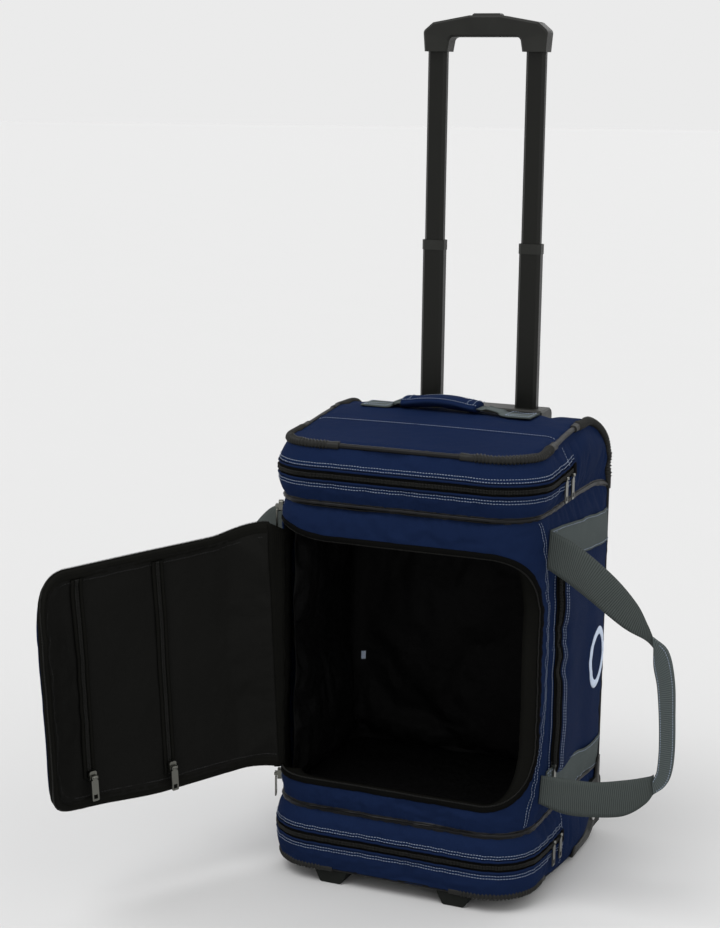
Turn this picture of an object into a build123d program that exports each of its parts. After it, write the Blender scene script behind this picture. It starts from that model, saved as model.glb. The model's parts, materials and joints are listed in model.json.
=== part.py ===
from build123d import *
import math
import os

# Two-wheeled upright softside case, standing on its wheels and front feet, with the front lid
# swung open and the two-stage pull handle fully out. Millimetres, +Z up, -Y is the front.
# Everything is drawn about the middle of the case; the last lines move the origin to the floor,
# under the middle of the whole standing object.

# ---------------------------------------------------------------- driving dimensions
CASE_WIDTH = 320.0
CASE_DEPTH = 292.0
CASE_BOTTOM = 20.0
CASE_TOP = 524.0
FRONT_RADIUS = 57.0
BACK_RADIUS = 8.0
TOP_BACK_RADIUS = 75.0
BOTTOM_BACK_RADIUS = 45.0
WALL = 4.0
DIVIDER_THICK = 1.6
BOARD_HALF_WIDTH = 112.0
PIPING = 2.5
SEAM_Y = -89.0

LOWER_SEAM_Z = 92.0
UPPER_SEAM_Z = 457.0
LOWER_ZIP_Z = 57.0
UPPER_ZIP_Z = 491.0
ZIP_WIDTH = 14.0
ZIP_END_Y = -8.0

OPENING_BOTTOM = 126.0
OPENING_TOP = 416.0
OPENING_RADIUS = 50.0
OPENING_ARC = 60.0
OPENING_END_TURN = 15.0
ZIP_GAP = 7.0
LID_ANGLE = 120.0
LID_LEAN = 1.9
HINGE_GAP = 1.5

TUBE_X = 62.0
TUBE_Y = 121.0
TUBE_WALL = 1.2
TUBE_CORNER = 3.5
SLIDE_GAP = 0.4
UPPER_TUBE = (23.8, 13.3)
MIDDLE_TUBE = (27.0, 16.5)
OUTER_TUBE = (30.2, 19.7)
BEZEL_TOP = 540.0
STAGE_ONE_TRAVEL = 185.0
STAGE_TWO_TRAVEL = 218.0
COLLAR_HEIGHT = 12.0
COLLAR_TOP = BEZEL_TOP + 2.0 + COLLAR_HEIGHT + STAGE_ONE_TRAVEL
SOCKET_BOTTOM = COLLAR_TOP + 7.0 + STAGE_TWO_TRAVEL
GRIP_TOP = 1006.0
GRIP_DEPTH = 26.0
BUTTON_LENGTH = 35.0
BUTTON_PROUD = 2.5
BUTTON_TRAVEL = 4.0

WHEEL_RADIUS = 32.0
WHEEL_WIDTH = 22.0
WHEEL_X = 141.0
WHEEL_Y = 122.0
AXLE_RADIUS = 4.0

STRAP_WIDTH = 40.0
STRAP_THICK = 2.5
CARRY_PIVOT_X = 163.5
CARRY_PIVOT_Y = -97.0
CARRY_REACH = 152.0
CARRY_MIDDLE_Z = 278.0
CARRY_ROOT_SPREAD = 140.0
CARRY_SAG = 33.0
CARRY_LEFT_TURN = 40.0

TAB_LENGTH = 28.0
TAB_WIDTH = 8.5
TAB_OFFSET = 7.2

HALF_W, HALF_D = CASE_WIDTH / 2, CASE_DEPTH / 2
FRONT_Y, BACK_Y = -HALF_D, HALF_D
ARC_X = HALF_W - FRONT_RADIUS
ARC_Y = FRONT_Y + FRONT_RADIUS
HINGE_X = -(ARC_X + FRONT_RADIUS * math.sin(math.radians(OPENING_ARC)))
HINGE_Y = ARC_Y - FRONT_RADIUS * math.cos(math.radians(OPENING_ARC))
BIG = 1000.0


# ---------------------------------------------------------------- shared shapes
def span(low, high):
    """A box from its lowest corner to its highest corner."""
    size = [h - l for l, h in zip(low, high)]
    middle = [(h + l) / 2 for l, h in zip(low, high)]
    return Pos(*middle) * Box(*size)


def plan(inset):
    """The case seen from above, drawn in by inset: round front corners, tight back ones."""
    face = Rectangle(CASE_WIDTH - 2 * inset, CASE_DEPTH - 2 * inset)
    corners = face.vertices().sort_by(Axis.Y)
    face = fillet(corners[:2], FRONT_RADIUS - inset)
    return fillet(face.vertices().sort_by(Axis.Y)[-2:], max(BACK_RADIUS - inset, 1.0))


def plan_block(inset, low=-100.0, high=700.0):
    """The plan outline as a tall block."""
    return extrude(Pos(0, 0, low) * plan(inset), high - low)


def profile_block(inset, front=FRONT_Y, half_width=HALF_W + 50):
    """The case seen from the side as a block along X, with its two round back edges."""
    low, high, back = CASE_BOTTOM + inset, CASE_TOP - inset, BACK_Y - inset
    face = Pos((front + back) / 2, (low + high) / 2) * Rectangle(back - front, high - low)
    face = fillet(face.vertices().group_by(Axis.X)[-1].sort_by(Axis.Y)[-1], TOP_BACK_RADIUS - inset)
    lowest_back = face.vertices().filter_by(lambda v: v.Y < low + 1 and v.X > 0)[0]
    face = fillet(lowest_back, BOTTOM_BACK_RADIUS - inset)
    return extrude(Plane.YZ * face, half_width, both=True)


def ring(outer_inset, inner_inset, low, high):
    """A strip that follows the plan outline."""
    return plan_block(outer_inset, low, high) - plan_block(inner_inset, low - 1, high + 1)


def mirrored(shape):
    """The same shape on the other side of the case."""
    return mirror(shape, about=Plane.YZ)


def pair(shape):
    """The shape and its mirror image, as separate solids."""
    return Compound(children=[*shape.solids(), *mirrored(shape).solids()])


def group(*shapes):
    """Separate solids that share one node."""
    return Compound(children=[s for shape in shapes for s in shape.solids()])


def section(size, inset=0.0):
    """A tube's rectangular section with cut corners, drawn in by inset."""
    inner_size = [s - 2 * inset for s in size]
    return chamfer(Rectangle(*inner_size).vertices(), TUBE_CORNER - 0.6 * inset)


def tube(size, low, high, wall=TUBE_WALL):
    """A rectangular tube, upright."""
    return extrude(Pos(0, 0, low) * (section(size) - section(size, wall)), high - low)


def bar(size, low, high, inset=0.0):
    """A solid bar with a tube's section, upright."""
    return extrude(Pos(0, 0, low) * section(size, inset), high - low)


def grown(size, amount):
    return [s + 2 * amount for s in size]


# ---------------------------------------------------------------- bag shell
shell_outer = plan_block(0) & profile_block(0)
inner_profile = profile_block(WALL, front=-BIG)
wrap = shell_outer - inner_profile
band = (shell_outer & inner_profile) - plan_block(WALL)

HOUSING_LOW = (117.0, 84.0, 12.0)
HOUSING_HIGH = (163.0, 157.0, 76.0)
housing_space = span(HOUSING_LOW, HOUSING_HIGH)
housing_spaces = housing_space + mirrored(housing_space)
BEZEL_LOW = (-88.0, 101.0, 470.0)
BEZEL_HIGH = (88.0, 143.0, BEZEL_TOP)
bezel_space = span(BEZEL_LOW, BEZEL_HIGH)


def zip_slot(middle_z):
    """The slit that an end pocket's zip fills, round the front and a little way along each side."""
    return span((-BIG, -BIG, middle_z - ZIP_WIDTH / 2), (BIG, ZIP_END_Y, middle_z + ZIP_WIDTH / 2))


def end_zip(middle_z):
    strip = ring(1.0, 3.0, middle_z - ZIP_WIDTH / 2, middle_z + ZIP_WIDTH / 2)
    return strip & span((-BIG, -BIG, 0), (BIG, ZIP_END_Y, BIG))


def front_slice(low, high):
    """The part of the front band between two heights."""
    return band & span((-BIG, -BIG, low), (BIG, SEAM_Y, high))


def side_panel():
    side = band & span((0, SEAM_Y, 0), (BIG, BIG, BIG))
    return side - zip_slot(LOWER_ZIP_Z) - zip_slot(UPPER_ZIP_Z) - housing_spaces


# ---------------------------------------------------------------- front opening and lid
def opening_block(inset, hinge_inset=0.0):
    """The U-shaped front opening as a block along Y. Its open side is the hinge.

    Its free end goes further round the right corner than its hinge does round the left one.
    """
    squeeze = math.cos(math.radians(OPENING_ARC))
    left, right = HINGE_X + hinge_inset, -HINGE_X - inset * squeeze
    low, high = OPENING_BOTTOM + inset, OPENING_TOP - inset
    face = Pos((left + right) / 2, (low + high) / 2) * Rectangle(right - left, high - low)
    face = fillet(face.vertices().group_by(Axis.X)[-1], OPENING_RADIUS - inset)
    front = Plane.XZ.offset(CASE_DEPTH) * face
    block = extrude(front, -CASE_DEPTH / 2 - 80)
    return block + block.rotate(Axis((ARC_X, ARC_Y, 0), (0, 0, 1)), OPENING_END_TURN)


def opening_tape(outer_inset, inner_inset, hinge_inset=0.0):
    tape = ring(1.0, 3.0, OPENING_BOTTOM, OPENING_TOP)
    return (tape & opening_block(outer_inset, hinge_inset)) - opening_block(inner_inset, hinge_inset - 5)


def lid_layer(outer_depth, inner_depth, inset, hinge_inset):
    layer = ring(outer_depth, inner_depth, OPENING_BOTTOM, OPENING_TOP)
    return layer & opening_block(inset, hinge_inset)


def hinge_direction():
    """The lid's hinge line. It leans outwards at its top, so that the open lid's free end droops."""
    outwards, lean = math.radians(OPENING_ARC), math.radians(LID_LEAN)
    return (-math.sin(lean) * math.sin(outwards), -math.sin(lean) * math.cos(outwards), math.cos(lean))


LID_HINGE = Axis((HINGE_X, HINGE_Y, OPENING_BOTTOM), hinge_direction())


def swung_open(shape):
    """Turns a piece of the closed lid about the hinge line to where it stands open."""
    return shape.rotate(LID_HINGE, -LID_ANGLE)


# Where each pocket zip of the lid's lining runs: its x, and its slider's height at the bottom.
POCKET_ZIPS = {"inner": (-12.0, 158.0), "outer": (91.0, 174.0)}
POCKET_ZIP_TOP = 400.0
LINING_DEPTH = 8.0


def pocket_zip(x, bottom):
    y = FRONT_Y + LINING_DEPTH
    return span((x - 5, y, bottom - 8), (x + 5, y + 1.2, POCKET_ZIP_TOP))


# ---------------------------------------------------------------- zip sliders and pull tabs
LUG_X = 3.2
EYE_RADIUS = 2.1
BRIDGE_RADIUS = 1.0


def slider(along_zip=13.0, across_zip=9.0, upright=True):
    """A slider on a wall that faces -Y: body, two lugs and the bar that the pull hangs on."""
    size = (across_zip, along_zip) if upright else (along_zip, across_zip)
    body = span((-size[0] / 2, -5, -size[1] / 2), (size[0] / 2, 0, size[1] / 2))
    body = fillet(body.edges().filter_by(Axis.Y), 2.5)
    lugs = [span((x - 0.6, -9, -1.7), (x + 0.6, -5, 1.7)) for x in (-LUG_X, LUG_X)]
    bar_across = Pos(0, -TAB_OFFSET, 0) * Rot(0, 90, 0) * Cylinder(BRIDGE_RADIUS, 2 * LUG_X)
    return body + lugs[0] + lugs[1] + bar_across


def pull_tab():
    """A flat pull with an eye round the slider's bar and a window at its end."""
    eye = Pos(0, -TAB_OFFSET, 0) * Rot(0, 90, 0) * Cylinder(EYE_RADIUS, 4.6)
    bore = Pos(0, -TAB_OFFSET, 0) * Rot(0, 90, 0) * Cylinder(BRIDGE_RADIUS + 0.08, 6)
    neck = span((-2.3, -TAB_OFFSET - 0.8, -4), (2.3, -TAB_OFFSET + 0.8, -1.4))
    half = TAB_WIDTH / 2
    plate = span((-half, -TAB_OFFSET - 0.8, -TAB_LENGTH), (half, -TAB_OFFSET + 0.8, -3.2))
    plate = fillet(plate.edges().filter_by(Axis.Y), 1.6)
    window = span((-2.4, -BIG, -TAB_LENGTH + 2.4), (2.4, BIG, -TAB_LENGTH + 7.5))
    return eye + neck + plate - window - bore


def placed(shape, x, y, z, turn=0.0):
    """Moves a piece that was drawn on a wall facing -Y to its own wall."""
    return Pos(x, y, z) * Rot(0, 0, turn) * shape


ON_RIGHT_WALL = 90.0
INSIDE_LID = 180.0
SIDE_ZIP_Y = -62.0
SIDE_ZIP_BOTTOM = 150.0
SIDE_ZIP_TOP = 388.0
TAPE_FACE_X = HALF_W - 1.0
UPPER_PULL_Y = (-44.0, -20.0)
LOWER_PULL_Y = (-46.0, -20.0)
MAIN_PULL_ARC = 72.0
MAIN_PULL_Z = (112.0, 441.0)
TRIM_GAP = 0.3

# each wall-mounted pull: name -> (x, y, z, turn, upright zip)
PULLS = {}
for letter, y in zip("ab", UPPER_PULL_Y):
    PULLS[f"upper_pull_{letter}"] = (TAPE_FACE_X, y, UPPER_ZIP_Z, ON_RIGHT_WALL, False)
for letter, y in zip("ab", LOWER_PULL_Y):
    PULLS[f"lower_pull_{letter}"] = (TAPE_FACE_X, y, LOWER_ZIP_Z, ON_RIGHT_WALL, False)
around = math.radians(MAIN_PULL_ARC)
main_x = -(ARC_X + FRONT_RADIUS * math.sin(around))
main_y = ARC_Y - FRONT_RADIUS * math.cos(around)
for word, z in zip(("bottom", "top"), MAIN_PULL_Z):
    PULLS[f"main_pull_{word}"] = (main_x, main_y, z, -MAIN_PULL_ARC, True)
SIDE_PULL = (HALF_W + 1.6, SIDE_ZIP_Y, SIDE_ZIP_BOTTOM + 8, ON_RIGHT_WALL)


# ---------------------------------------------------------------- pull handle
def both_tubes(make):
    return group(*(Pos(x, TUBE_Y, 0) * make() for x in (-TUBE_X, TUBE_X)))


UPPER_TUBE_BOTTOM = 700.0
MIDDLE_TUBE_BOTTOM = 482.0
OUTER_TUBE_BOTTOM = 78.0
OUTER_TUBE_TOP = 522.0
CAVITY_LOW = 985.0
UPPER_TUBE_TOP = CAVITY_LOW
PUSHER_Z = CAVITY_LOW + 4.0 + BUTTON_TRAVEL
CAVITY_HIGH = 998.0


def grip_outline():
    """The grip from the front: a low arch with a socket at each end."""
    half, low = TUBE_X + 16, SOCKET_BOTTOM
    under, top, end = GRIP_TOP - 25, GRIP_TOP, GRIP_TOP - 8
    lines = Polyline(
        (-half + 2, low), (-half, low + 24), (-half + 12, end), (-20, top), (20, top),
        (half - 12, end), (half, low + 24), (half - 2, low), (TUBE_X - 15, low),
        (TUBE_X - 18, under), (-TUBE_X + 18, under), (-TUBE_X + 15, low), (-half + 2, low),
    )
    face = make_face(lines)
    return fillet(face.vertices().filter_by(lambda v: v.Y > low + 1), 6)


def handle_grip():
    blank = extrude(Plane.XZ * grip_outline(), GRIP_DEPTH / 2, both=True)
    blank = Pos(0, TUBE_Y, 0) * blank
    long_edges = blank.edges().filter_by(lambda e: abs(e.center().Y - TUBE_Y) > GRIP_DEPTH / 2 - 0.1)
    blank = chamfer(long_edges.filter_by(lambda e: e.center().Z > SOCKET_BOTTOM + 1), 2.5)
    sockets = both_tubes(lambda: bar(UPPER_TUBE, SOCKET_BOTTOM - 1, UPPER_TUBE_TOP))
    channel = span((-TUBE_X - 5, TUBE_Y - 5, CAVITY_LOW), (TUBE_X + 5, TUBE_Y + 5, CAVITY_HIGH))
    half = BUTTON_LENGTH / 2 + 0.3
    shaft = span((-half, TUBE_Y - 7.3, CAVITY_LOW), (half, TUBE_Y + 7.3, BIG + 100))
    return blank - sockets - channel - shaft


def push_button():
    half = BUTTON_LENGTH / 2
    low, high = PUSHER_Z + 3, GRIP_TOP + BUTTON_PROUD
    body = span((-half, TUBE_Y - 7, low), (half, TUBE_Y + 7, high))
    return chamfer(body.edges().group_by(Axis.Z)[-1], 1.5)


def release_rods():
    """The bar under the button and the two rods that reach down to the latches."""
    rods = [
        Pos(x, TUBE_Y, (UPPER_TUBE_BOTTOM + 14 + PUSHER_Z + 1) / 2)
        * Cylinder(2.5, PUSHER_Z + 1 - UPPER_TUBE_BOTTOM - 14)
        for x in (-TUBE_X, TUBE_X)
    ]
    bar_across = span((-TUBE_X - 3, TUBE_Y - 3, PUSHER_Z), (TUBE_X + 3, TUBE_Y + 3, PUSHER_Z + 3))
    return bar_across + rods[0] + rods[1]


def button_spring():
    """Four turns of round wire between the grip's floor and the pusher bar."""
    wire, radius = 0.7, 3.6
    height = PUSHER_Z - CAVITY_LOW - wire - 0.1
    path = Helix(pitch=height / 4, height=height, radius=radius)
    start = path @ 0
    section = Plane(origin=start, z_dir=path % 0) * Circle(wire / 2)
    coil = sweep(section, path=path)
    return Pos(0, TUBE_Y, CAVITY_LOW + wire / 2 + 0.05) * coil


def handle_bezel():
    block = bezel_space
    back_top = block.edges().filter_by(Axis.X).group_by(Axis.Z)[-1].sort_by(Axis.Y)[-1]
    block = fillet(back_top, 9)
    block = chamfer(block.edges().group_by(Axis.Z)[-1], 2)
    cut = both_tubes(lambda: bar(grown(OUTER_TUBE, 0.0), 400, OUTER_TUBE_TOP))
    way = both_tubes(lambda: bar(grown(MIDDLE_TUBE, SLIDE_GAP), 400, BIG))
    hollow = span((-44, 106, 440), (44, 138, 534))
    return block - cut - way - hollow


def tube_bracket():
    """The foot that joins the two fixed tubes, screwed to the back board."""
    low = OUTER_TUBE_BOTTOM - 14
    block = span((-82, TUBE_Y - 13, low), (82, BACK_Y - WALL - 3, OUTER_TUBE_BOTTOM + 12))
    return block - both_tubes(lambda: bar(OUTER_TUBE, OUTER_TUBE_BOTTOM, BIG))


# ---------------------------------------------------------------- wheels, feet and screws
WHEEL_Z = WHEEL_RADIUS
HUB_RADIUS = 20.0
WELL_X = (125.0, 157.0)


def on_axle(shape, x=WHEEL_X):
    return Pos(x, WHEEL_Y, WHEEL_Z) * Rot(0, 90, 0) * shape


def tyre():
    ring_face = Cylinder(WHEEL_RADIUS, WHEEL_WIDTH)
    ring_face = fillet(ring_face.edges().filter_by(GeomType.CIRCLE), 4.5)
    return on_axle(ring_face - Cylinder(HUB_RADIUS, WHEEL_WIDTH + 2))


def hub():
    body = Cylinder(HUB_RADIUS, WHEEL_WIDTH - 4)
    for face_side in (-1, 1):
        recess = Cylinder(HUB_RADIUS - 3, 6) - Cylinder(8, 6)
        body -= Pos(0, 0, face_side * (WHEEL_WIDTH / 2 - 2)) * recess
    body += Cylinder(8, WHEEL_WIDTH)
    return on_axle(body - Cylinder(AXLE_RADIUS + 0.06, WHEEL_WIDTH + 2))


def axle():
    head = Pos(0, 0, HOUSING_HIGH[0] - WHEEL_X + 1.5) * Cylinder(7, 3)
    length = HOUSING_HIGH[0] - HOUSING_LOW[0]
    middle = (HOUSING_HIGH[0] + HOUSING_LOW[0]) / 2 - WHEEL_X
    return on_axle(Pos(0, 0, middle) * Cylinder(AXLE_RADIUS, length) + head)


def wheel_housing():
    body = housing_space
    back_edge = body.edges().filter_by(Axis.X).group_by(Axis.Y)[-1].sort_by(Axis.Z)[-1]
    body = fillet(back_edge, 12)
    well = span((WELL_X[0], HOUSING_LOW[1] - 1, -10), (WELL_X[1], 200, WHEEL_Z))
    round_top = on_axle(Cylinder(WHEEL_RADIUS + 4, WELL_X[1] - WELL_X[0]))
    behind = span((WELL_X[0], WHEEL_Y, 0), (WELL_X[1], 200, WHEEL_Z + 24))
    return body - well - round_top - behind - axle()


FOOT_X = 77.0
FOOT_Y = -126.0
FOOT_SCREW_X = (-5.0, 5.0)
BRACKET_SCREW_X = 30.0


def screw(length):
    """A pan-head screw, head down, with its underside at z = 0."""
    return Pos(0, 0, -1.1) * Cylinder(3.6, 2.2) + Pos(0, 0, length / 2) * Cylinder(2, length)


def foot_screws():
    places = [(FOOT_X + dx, FOOT_Y, 5.0) for dx in FOOT_SCREW_X]
    return group(*(Pos(*place) * screw(20) for place in places))


def bracket_screws():
    face_y = BACK_Y - WALL - 0.3
    return Pos(BRACKET_SCREW_X, face_y, OUTER_TUBE_BOTTOM - 4) * Rot(90, 0, 0) * screw(12)


def front_foot():
    """A tapered foot, wide where it meets the base."""
    lines = Polyline(
        (-23, CASE_BOTTOM), (23, CASE_BOTTOM), (13, 0), (-13, 0), (-23, CASE_BOTTOM)
    )
    body = extrude(Plane.XZ * make_face(lines), 15, both=True)
    body = Pos(FOOT_X, FOOT_Y, 0) * chamfer(body.edges().filter_by(Axis.Y), 1.5)
    sunk = [Pos(FOOT_X + dx, FOOT_Y, 1.3) * Cylinder(3.7, 3.2) for dx in FOOT_SCREW_X]
    for hole in sunk:
        body -= hole
    return body - foot_screws()


all_screws = group(pair(foot_screws()), pair(bracket_screws()))


# ---------------------------------------------------------------- webbing and guards
def carry_handle():
    """A loop of webbing that stands straight out from the right side and sags a little."""
    middle, reach, half = CARRY_MIDDLE_Z, CARRY_REACH, STRAP_WIDTH / 2
    root = 1.0
    drop = middle - CARRY_SAG
    outer = Polyline(
        (root, middle + CARRY_ROOT_SPREAD + half), (reach * 0.45, middle + 124),
        (reach - 4, drop + 74), (reach, drop), (reach - 4, drop - 74),
        (reach * 0.7, drop - 108), (root, middle - CARRY_ROOT_SPREAD - half),
        (root, middle - CARRY_ROOT_SPREAD + half), (reach * 0.6, drop - 80),
        (reach - 20, drop - 60), (reach - 18, drop), (reach - 20, drop + 60),
        (reach * 0.4, middle + 84), (root, middle + CARRY_ROOT_SPREAD - half),
        (root, middle + CARRY_ROOT_SPREAD + half),
    )
    strap = extrude(Plane.XZ * make_face(outer), STRAP_THICK / 2, both=True)
    grip = span((reach - 19, -4, drop - 62), (reach, 4, drop + 62))
    grip = fillet(grip.edges().filter_by(Axis.Z), 3)
    return Pos(CARRY_PIVOT_X, CARRY_PIVOT_Y, 0) * (strap + grip)


def side_patches():
    """Webbing sewn flat on the right side behind each end of the carry handle."""
    patches = []
    for sign in (-1, 1):
        middle = CARRY_MIDDLE_Z + sign * CARRY_ROOT_SPREAD
        low, high = middle - STRAP_WIDTH / 2, middle + STRAP_WIDTH / 2
        patches.append(span((HALF_W, -45, low), (HALF_W + 1.5, BACK_Y - 9, high)))
    return group(*patches)


GRAB_Y = (26.0, 66.0)
GRAB_X = (-118.0, 97.0)
GRAB_PATCH = 42.0
GRAB_RISE = 22.0
GRAB_SLEEVE_X = (-72.0, 32.0)


def grab_webbing():
    """The top handle's strap: a sewn-down end, a rise, the grip run, and down again."""
    base = CASE_TOP
    left, right = GRAB_X
    xs = (left, left + GRAB_PATCH, GRAB_SLEEVE_X[0], GRAB_SLEEVE_X[1] + 4, right - GRAB_PATCH, right)
    zs = (base, base, base + GRAB_RISE, base + GRAB_RISE, base, base)
    lower = list(zip(xs, zs))
    upper = [(x, z + 2.0) for x, z in reversed(lower)]
    half_width = (GRAB_Y[1] - GRAB_Y[0]) / 2
    strap = extrude(Plane.XZ * make_face(Polyline(*lower, *upper, lower[0])), half_width, both=True)
    return Pos(0, sum(GRAB_Y) / 2, 0) * strap


def grab_sleeve():
    base = CASE_TOP + GRAB_RISE
    low = (GRAB_SLEEVE_X[0] + 1, GRAB_Y[0] - 2, base - 6)
    body = span(low, (GRAB_SLEEVE_X[1], GRAB_Y[1] + 2, base + 10))
    body = fillet(body.edges().filter_by(Axis.X), 6)
    return body - grab_webbing()


def corner_guards():
    """Ribbed guards over the front corners' piping and the back top corners."""
    guards = []
    for low, high in ((CASE_TOP - 9, CASE_TOP + 2), (CASE_BOTTOM - 2, CASE_BOTTOM + 9)):
        sector = ring(-3.2, 0, low, high) & span((95, -BIG, 0), (BIG, -62, BIG))
        guards.append(sector)
    arc = profile_block(-3.2) - profile_block(0)
    arc = arc & span((HALF_W - 10, 55, 425), (HALF_W, BIG, BIG))
    guards.append(arc)
    return group(*guards)


def edge_piping():
    """The bead along the case's edges: round the front corners, and down each back corner."""
    beads = []
    for low, high in ((CASE_TOP - 5, CASE_TOP), (CASE_BOTTOM, CASE_BOTTOM + 5)):
        beads.append(ring(-PIPING, 0, low, high) & span((-BIG, -BIG, 0), (BIG, SEAM_Y, BIG)))
    side = (profile_block(-PIPING) - profile_block(0)) & span((HALF_W - 4, SEAM_Y, 0), (HALF_W, BIG, BIG))
    beads += [side, mirrored(side)]
    guards = corner_guards()
    cleared = []
    for bead in beads:
        rest = bead - guards - mirrored(guards) - housing_spaces
        cleared.append(rest)
    return group(*cleared)


def seam_piping():
    beads = []
    for seam in (LOWER_SEAM_Z, UPPER_SEAM_Z):
        bead = ring(-PIPING, 0, seam - 2.5, seam + 2.5) & span((-BIG, -BIG, 0), (BIG, 130, BIG))
        beads.append(bead)
    return group(*beads)


def divider(z):
    half = DIVIDER_THICK / 2
    inside = plan_block(WALL + 0.1, z - half, z + half) & profile_block(WALL + 0.1)
    tubes = span((-TUBE_X - 17, 108, 0), (TUBE_X + 17, BIG, BIG))
    behind_board = span((-BOARD_HALF_WIDTH - 1, 138, 0), (BOARD_HALF_WIDTH + 1, BIG, BIG))
    return inside - tubes - behind_board


# ---------------------------------------------------------------- the nodes
nodes = {}
top_panel = wrap & span((-BIG, -BIG, 448), (BIG, BIG, BIG))
nodes["top_panel"] = top_panel - bezel_space
back_panel = (wrap & span((-BIG, -BIG, 66), (BIG, BIG, 448))) - housing_spaces
nodes["back_panel"] = back_panel - all_screws
bottom_panel = (wrap & span((-BIG, -BIG, 0), (BIG, BIG, 66))) - housing_spaces
nodes["bottom_panel"] = bottom_panel - all_screws
nodes["side_panel_right"] = side_panel()
nodes["side_panel_left"] = mirrored(side_panel())
nodes["front_panel"] = front_slice(LOWER_SEAM_Z, UPPER_SEAM_Z) - opening_block(0)
nodes["upper_pocket_front"] = front_slice(UPPER_SEAM_Z, BIG) - zip_slot(UPPER_ZIP_Z)
nodes["lower_pocket_front"] = front_slice(0, LOWER_SEAM_Z) - zip_slot(LOWER_ZIP_Z)
nodes["compartment_dividers"] = group(divider(LOWER_SEAM_Z), divider(UPPER_SEAM_Z))
board_low = (-BOARD_HALF_WIDTH, BACK_Y - WALL - 3, 70)
board = span(board_low, (BOARD_HALF_WIDTH, BACK_Y - WALL - 0.3, 446))
nodes["back_board"] = board - all_screws
nodes["back_lining"] = span((-154, 104, LOWER_SEAM_Z + 2), (154, 106.5, UPPER_SEAM_Z - 2))
nodes["edge_piping"] = edge_piping()
nodes["seam_piping"] = seam_piping()
nodes["corner_guards"] = pair(corner_guards())
nodes["webbing_patches"] = pair(side_patches())
nodes["grab_handle_webbing"] = grab_webbing()
nodes["grab_handle_sleeve"] = grab_sleeve()

nodes["upper_zip"] = end_zip(UPPER_ZIP_Z)
nodes["lower_zip"] = end_zip(LOWER_ZIP_Z)
nodes["main_zip"] = opening_tape(0.0, ZIP_GAP / 2 - 0.3)
side_zip_low = (HALF_W, SIDE_ZIP_Y - 5, SIDE_ZIP_BOTTOM)
nodes["side_zip"] = span(side_zip_low, (HALF_W + 1.2, SIDE_ZIP_Y + 5, SIDE_ZIP_TOP))

wall_sliders = []
for name, (x, y, z, turn, upright) in PULLS.items():
    wall_sliders.append(placed(slider(upright=upright), x, y, z, turn))
    nodes[name] = placed(pull_tab(), x, y, z, turn)
nodes["zip_sliders"] = group(*wall_sliders)
nodes["side_slider"] = placed(slider(), *SIDE_PULL)
nodes["side_pull"] = placed(pull_tab(), *SIDE_PULL)

nodes["lid_panel"] = swung_open(lid_layer(0, WALL, ZIP_GAP, HINGE_GAP))
nodes["lid_lining"] = swung_open(lid_layer(WALL, LINING_DEPTH, 2 * ZIP_GAP, 6 * HINGE_GAP))
nodes["lid_zip"] = swung_open(opening_tape(ZIP_GAP / 2 + 0.3, ZIP_GAP, HINGE_GAP))
nodes["lid_pocket_zips"] = swung_open(group(*(pocket_zip(*zip_place) for zip_place in POCKET_ZIPS.values())))
for word, (x, bottom) in POCKET_ZIPS.items():
    spot = (x, FRONT_Y + LINING_DEPTH + 1.2 + TRIM_GAP, bottom, INSIDE_LID)
    nodes[f"pocket_slider_{word}"] = swung_open(placed(slider(), *spot))
    nodes[f"pocket_pull_{word}"] = swung_open(placed(pull_tab(), *spot))

nodes["handle_bezel"] = handle_bezel()
nodes["outer_tubes"] = both_tubes(lambda: tube(OUTER_TUBE, OUTER_TUBE_BOTTOM, OUTER_TUBE_TOP))
nodes["tube_bracket"] = tube_bracket() - all_screws
nodes["middle_tubes"] = both_tubes(
    lambda: tube(MIDDLE_TUBE, MIDDLE_TUBE_BOTTOM, COLLAR_TOP - COLLAR_HEIGHT)
)
collar_wall = (MIDDLE_TUBE[0] - UPPER_TUBE[0]) / 2 - 0.1
nodes["middle_collars"] = both_tubes(
    lambda: tube(grown(MIDDLE_TUBE, 0.6), COLLAR_TOP - COLLAR_HEIGHT, COLLAR_TOP, wall=collar_wall + 0.4)
)
nodes["upper_tubes"] = both_tubes(lambda: tube(UPPER_TUBE, UPPER_TUBE_BOTTOM, UPPER_TUBE_TOP))
nodes["latch_plugs"] = both_tubes(
    lambda: bar(UPPER_TUBE, UPPER_TUBE_BOTTOM, UPPER_TUBE_BOTTOM + 8, inset=TUBE_WALL)
)
nodes["handle_grip"] = handle_grip()
nodes["push_button"] = push_button()
nodes["release_rods"] = release_rods()
nodes["button_spring"] = button_spring()

for side, move in (("right", lambda s: s), ("left", mirrored)):
    nodes[f"wheel_housing_{side}"] = move(wheel_housing())
    nodes[f"tyre_{side}"] = move(tyre())
    nodes[f"hub_{side}"] = move(hub())
    nodes[f"carry_handle_{side}"] = move(carry_handle())
left_swing = Axis((-CARRY_PIVOT_X, CARRY_PIVOT_Y, 0), (0, 0, 1))
nodes["carry_handle_left"] = nodes["carry_handle_left"].rotate(left_swing, -CARRY_LEFT_TURN)
nodes["axles"] = pair(axle())
nodes["front_feet"] = pair(front_foot())
nodes["screws"] = all_screws

# ---------------------------------------------------------------- origin and files
whole = Compound(children=[s for shape in nodes.values() for s in shape.solids()]).bounding_box()
ORIGIN = Vector((whole.min.X + whole.max.X) / 2, (whole.min.Y + whole.max.Y) / 2, whole.min.Z)
os.makedirs("parts", exist_ok=True)
for name, shape in nodes.items():
    solids = [Pos(-ORIGIN.X, -ORIGIN.Y, -ORIGIN.Z) * s for s in shape.solids()]
    export_step(solids[0] if len(solids) == 1 else Compound(children=solids), f"parts/{name}.step")
print("nodes", len(nodes), "origin in the case's own frame", ORIGIN)
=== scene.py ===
import json
import math

import bpy
from mathutils import Matrix, Vector, kdtree, noise

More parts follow.
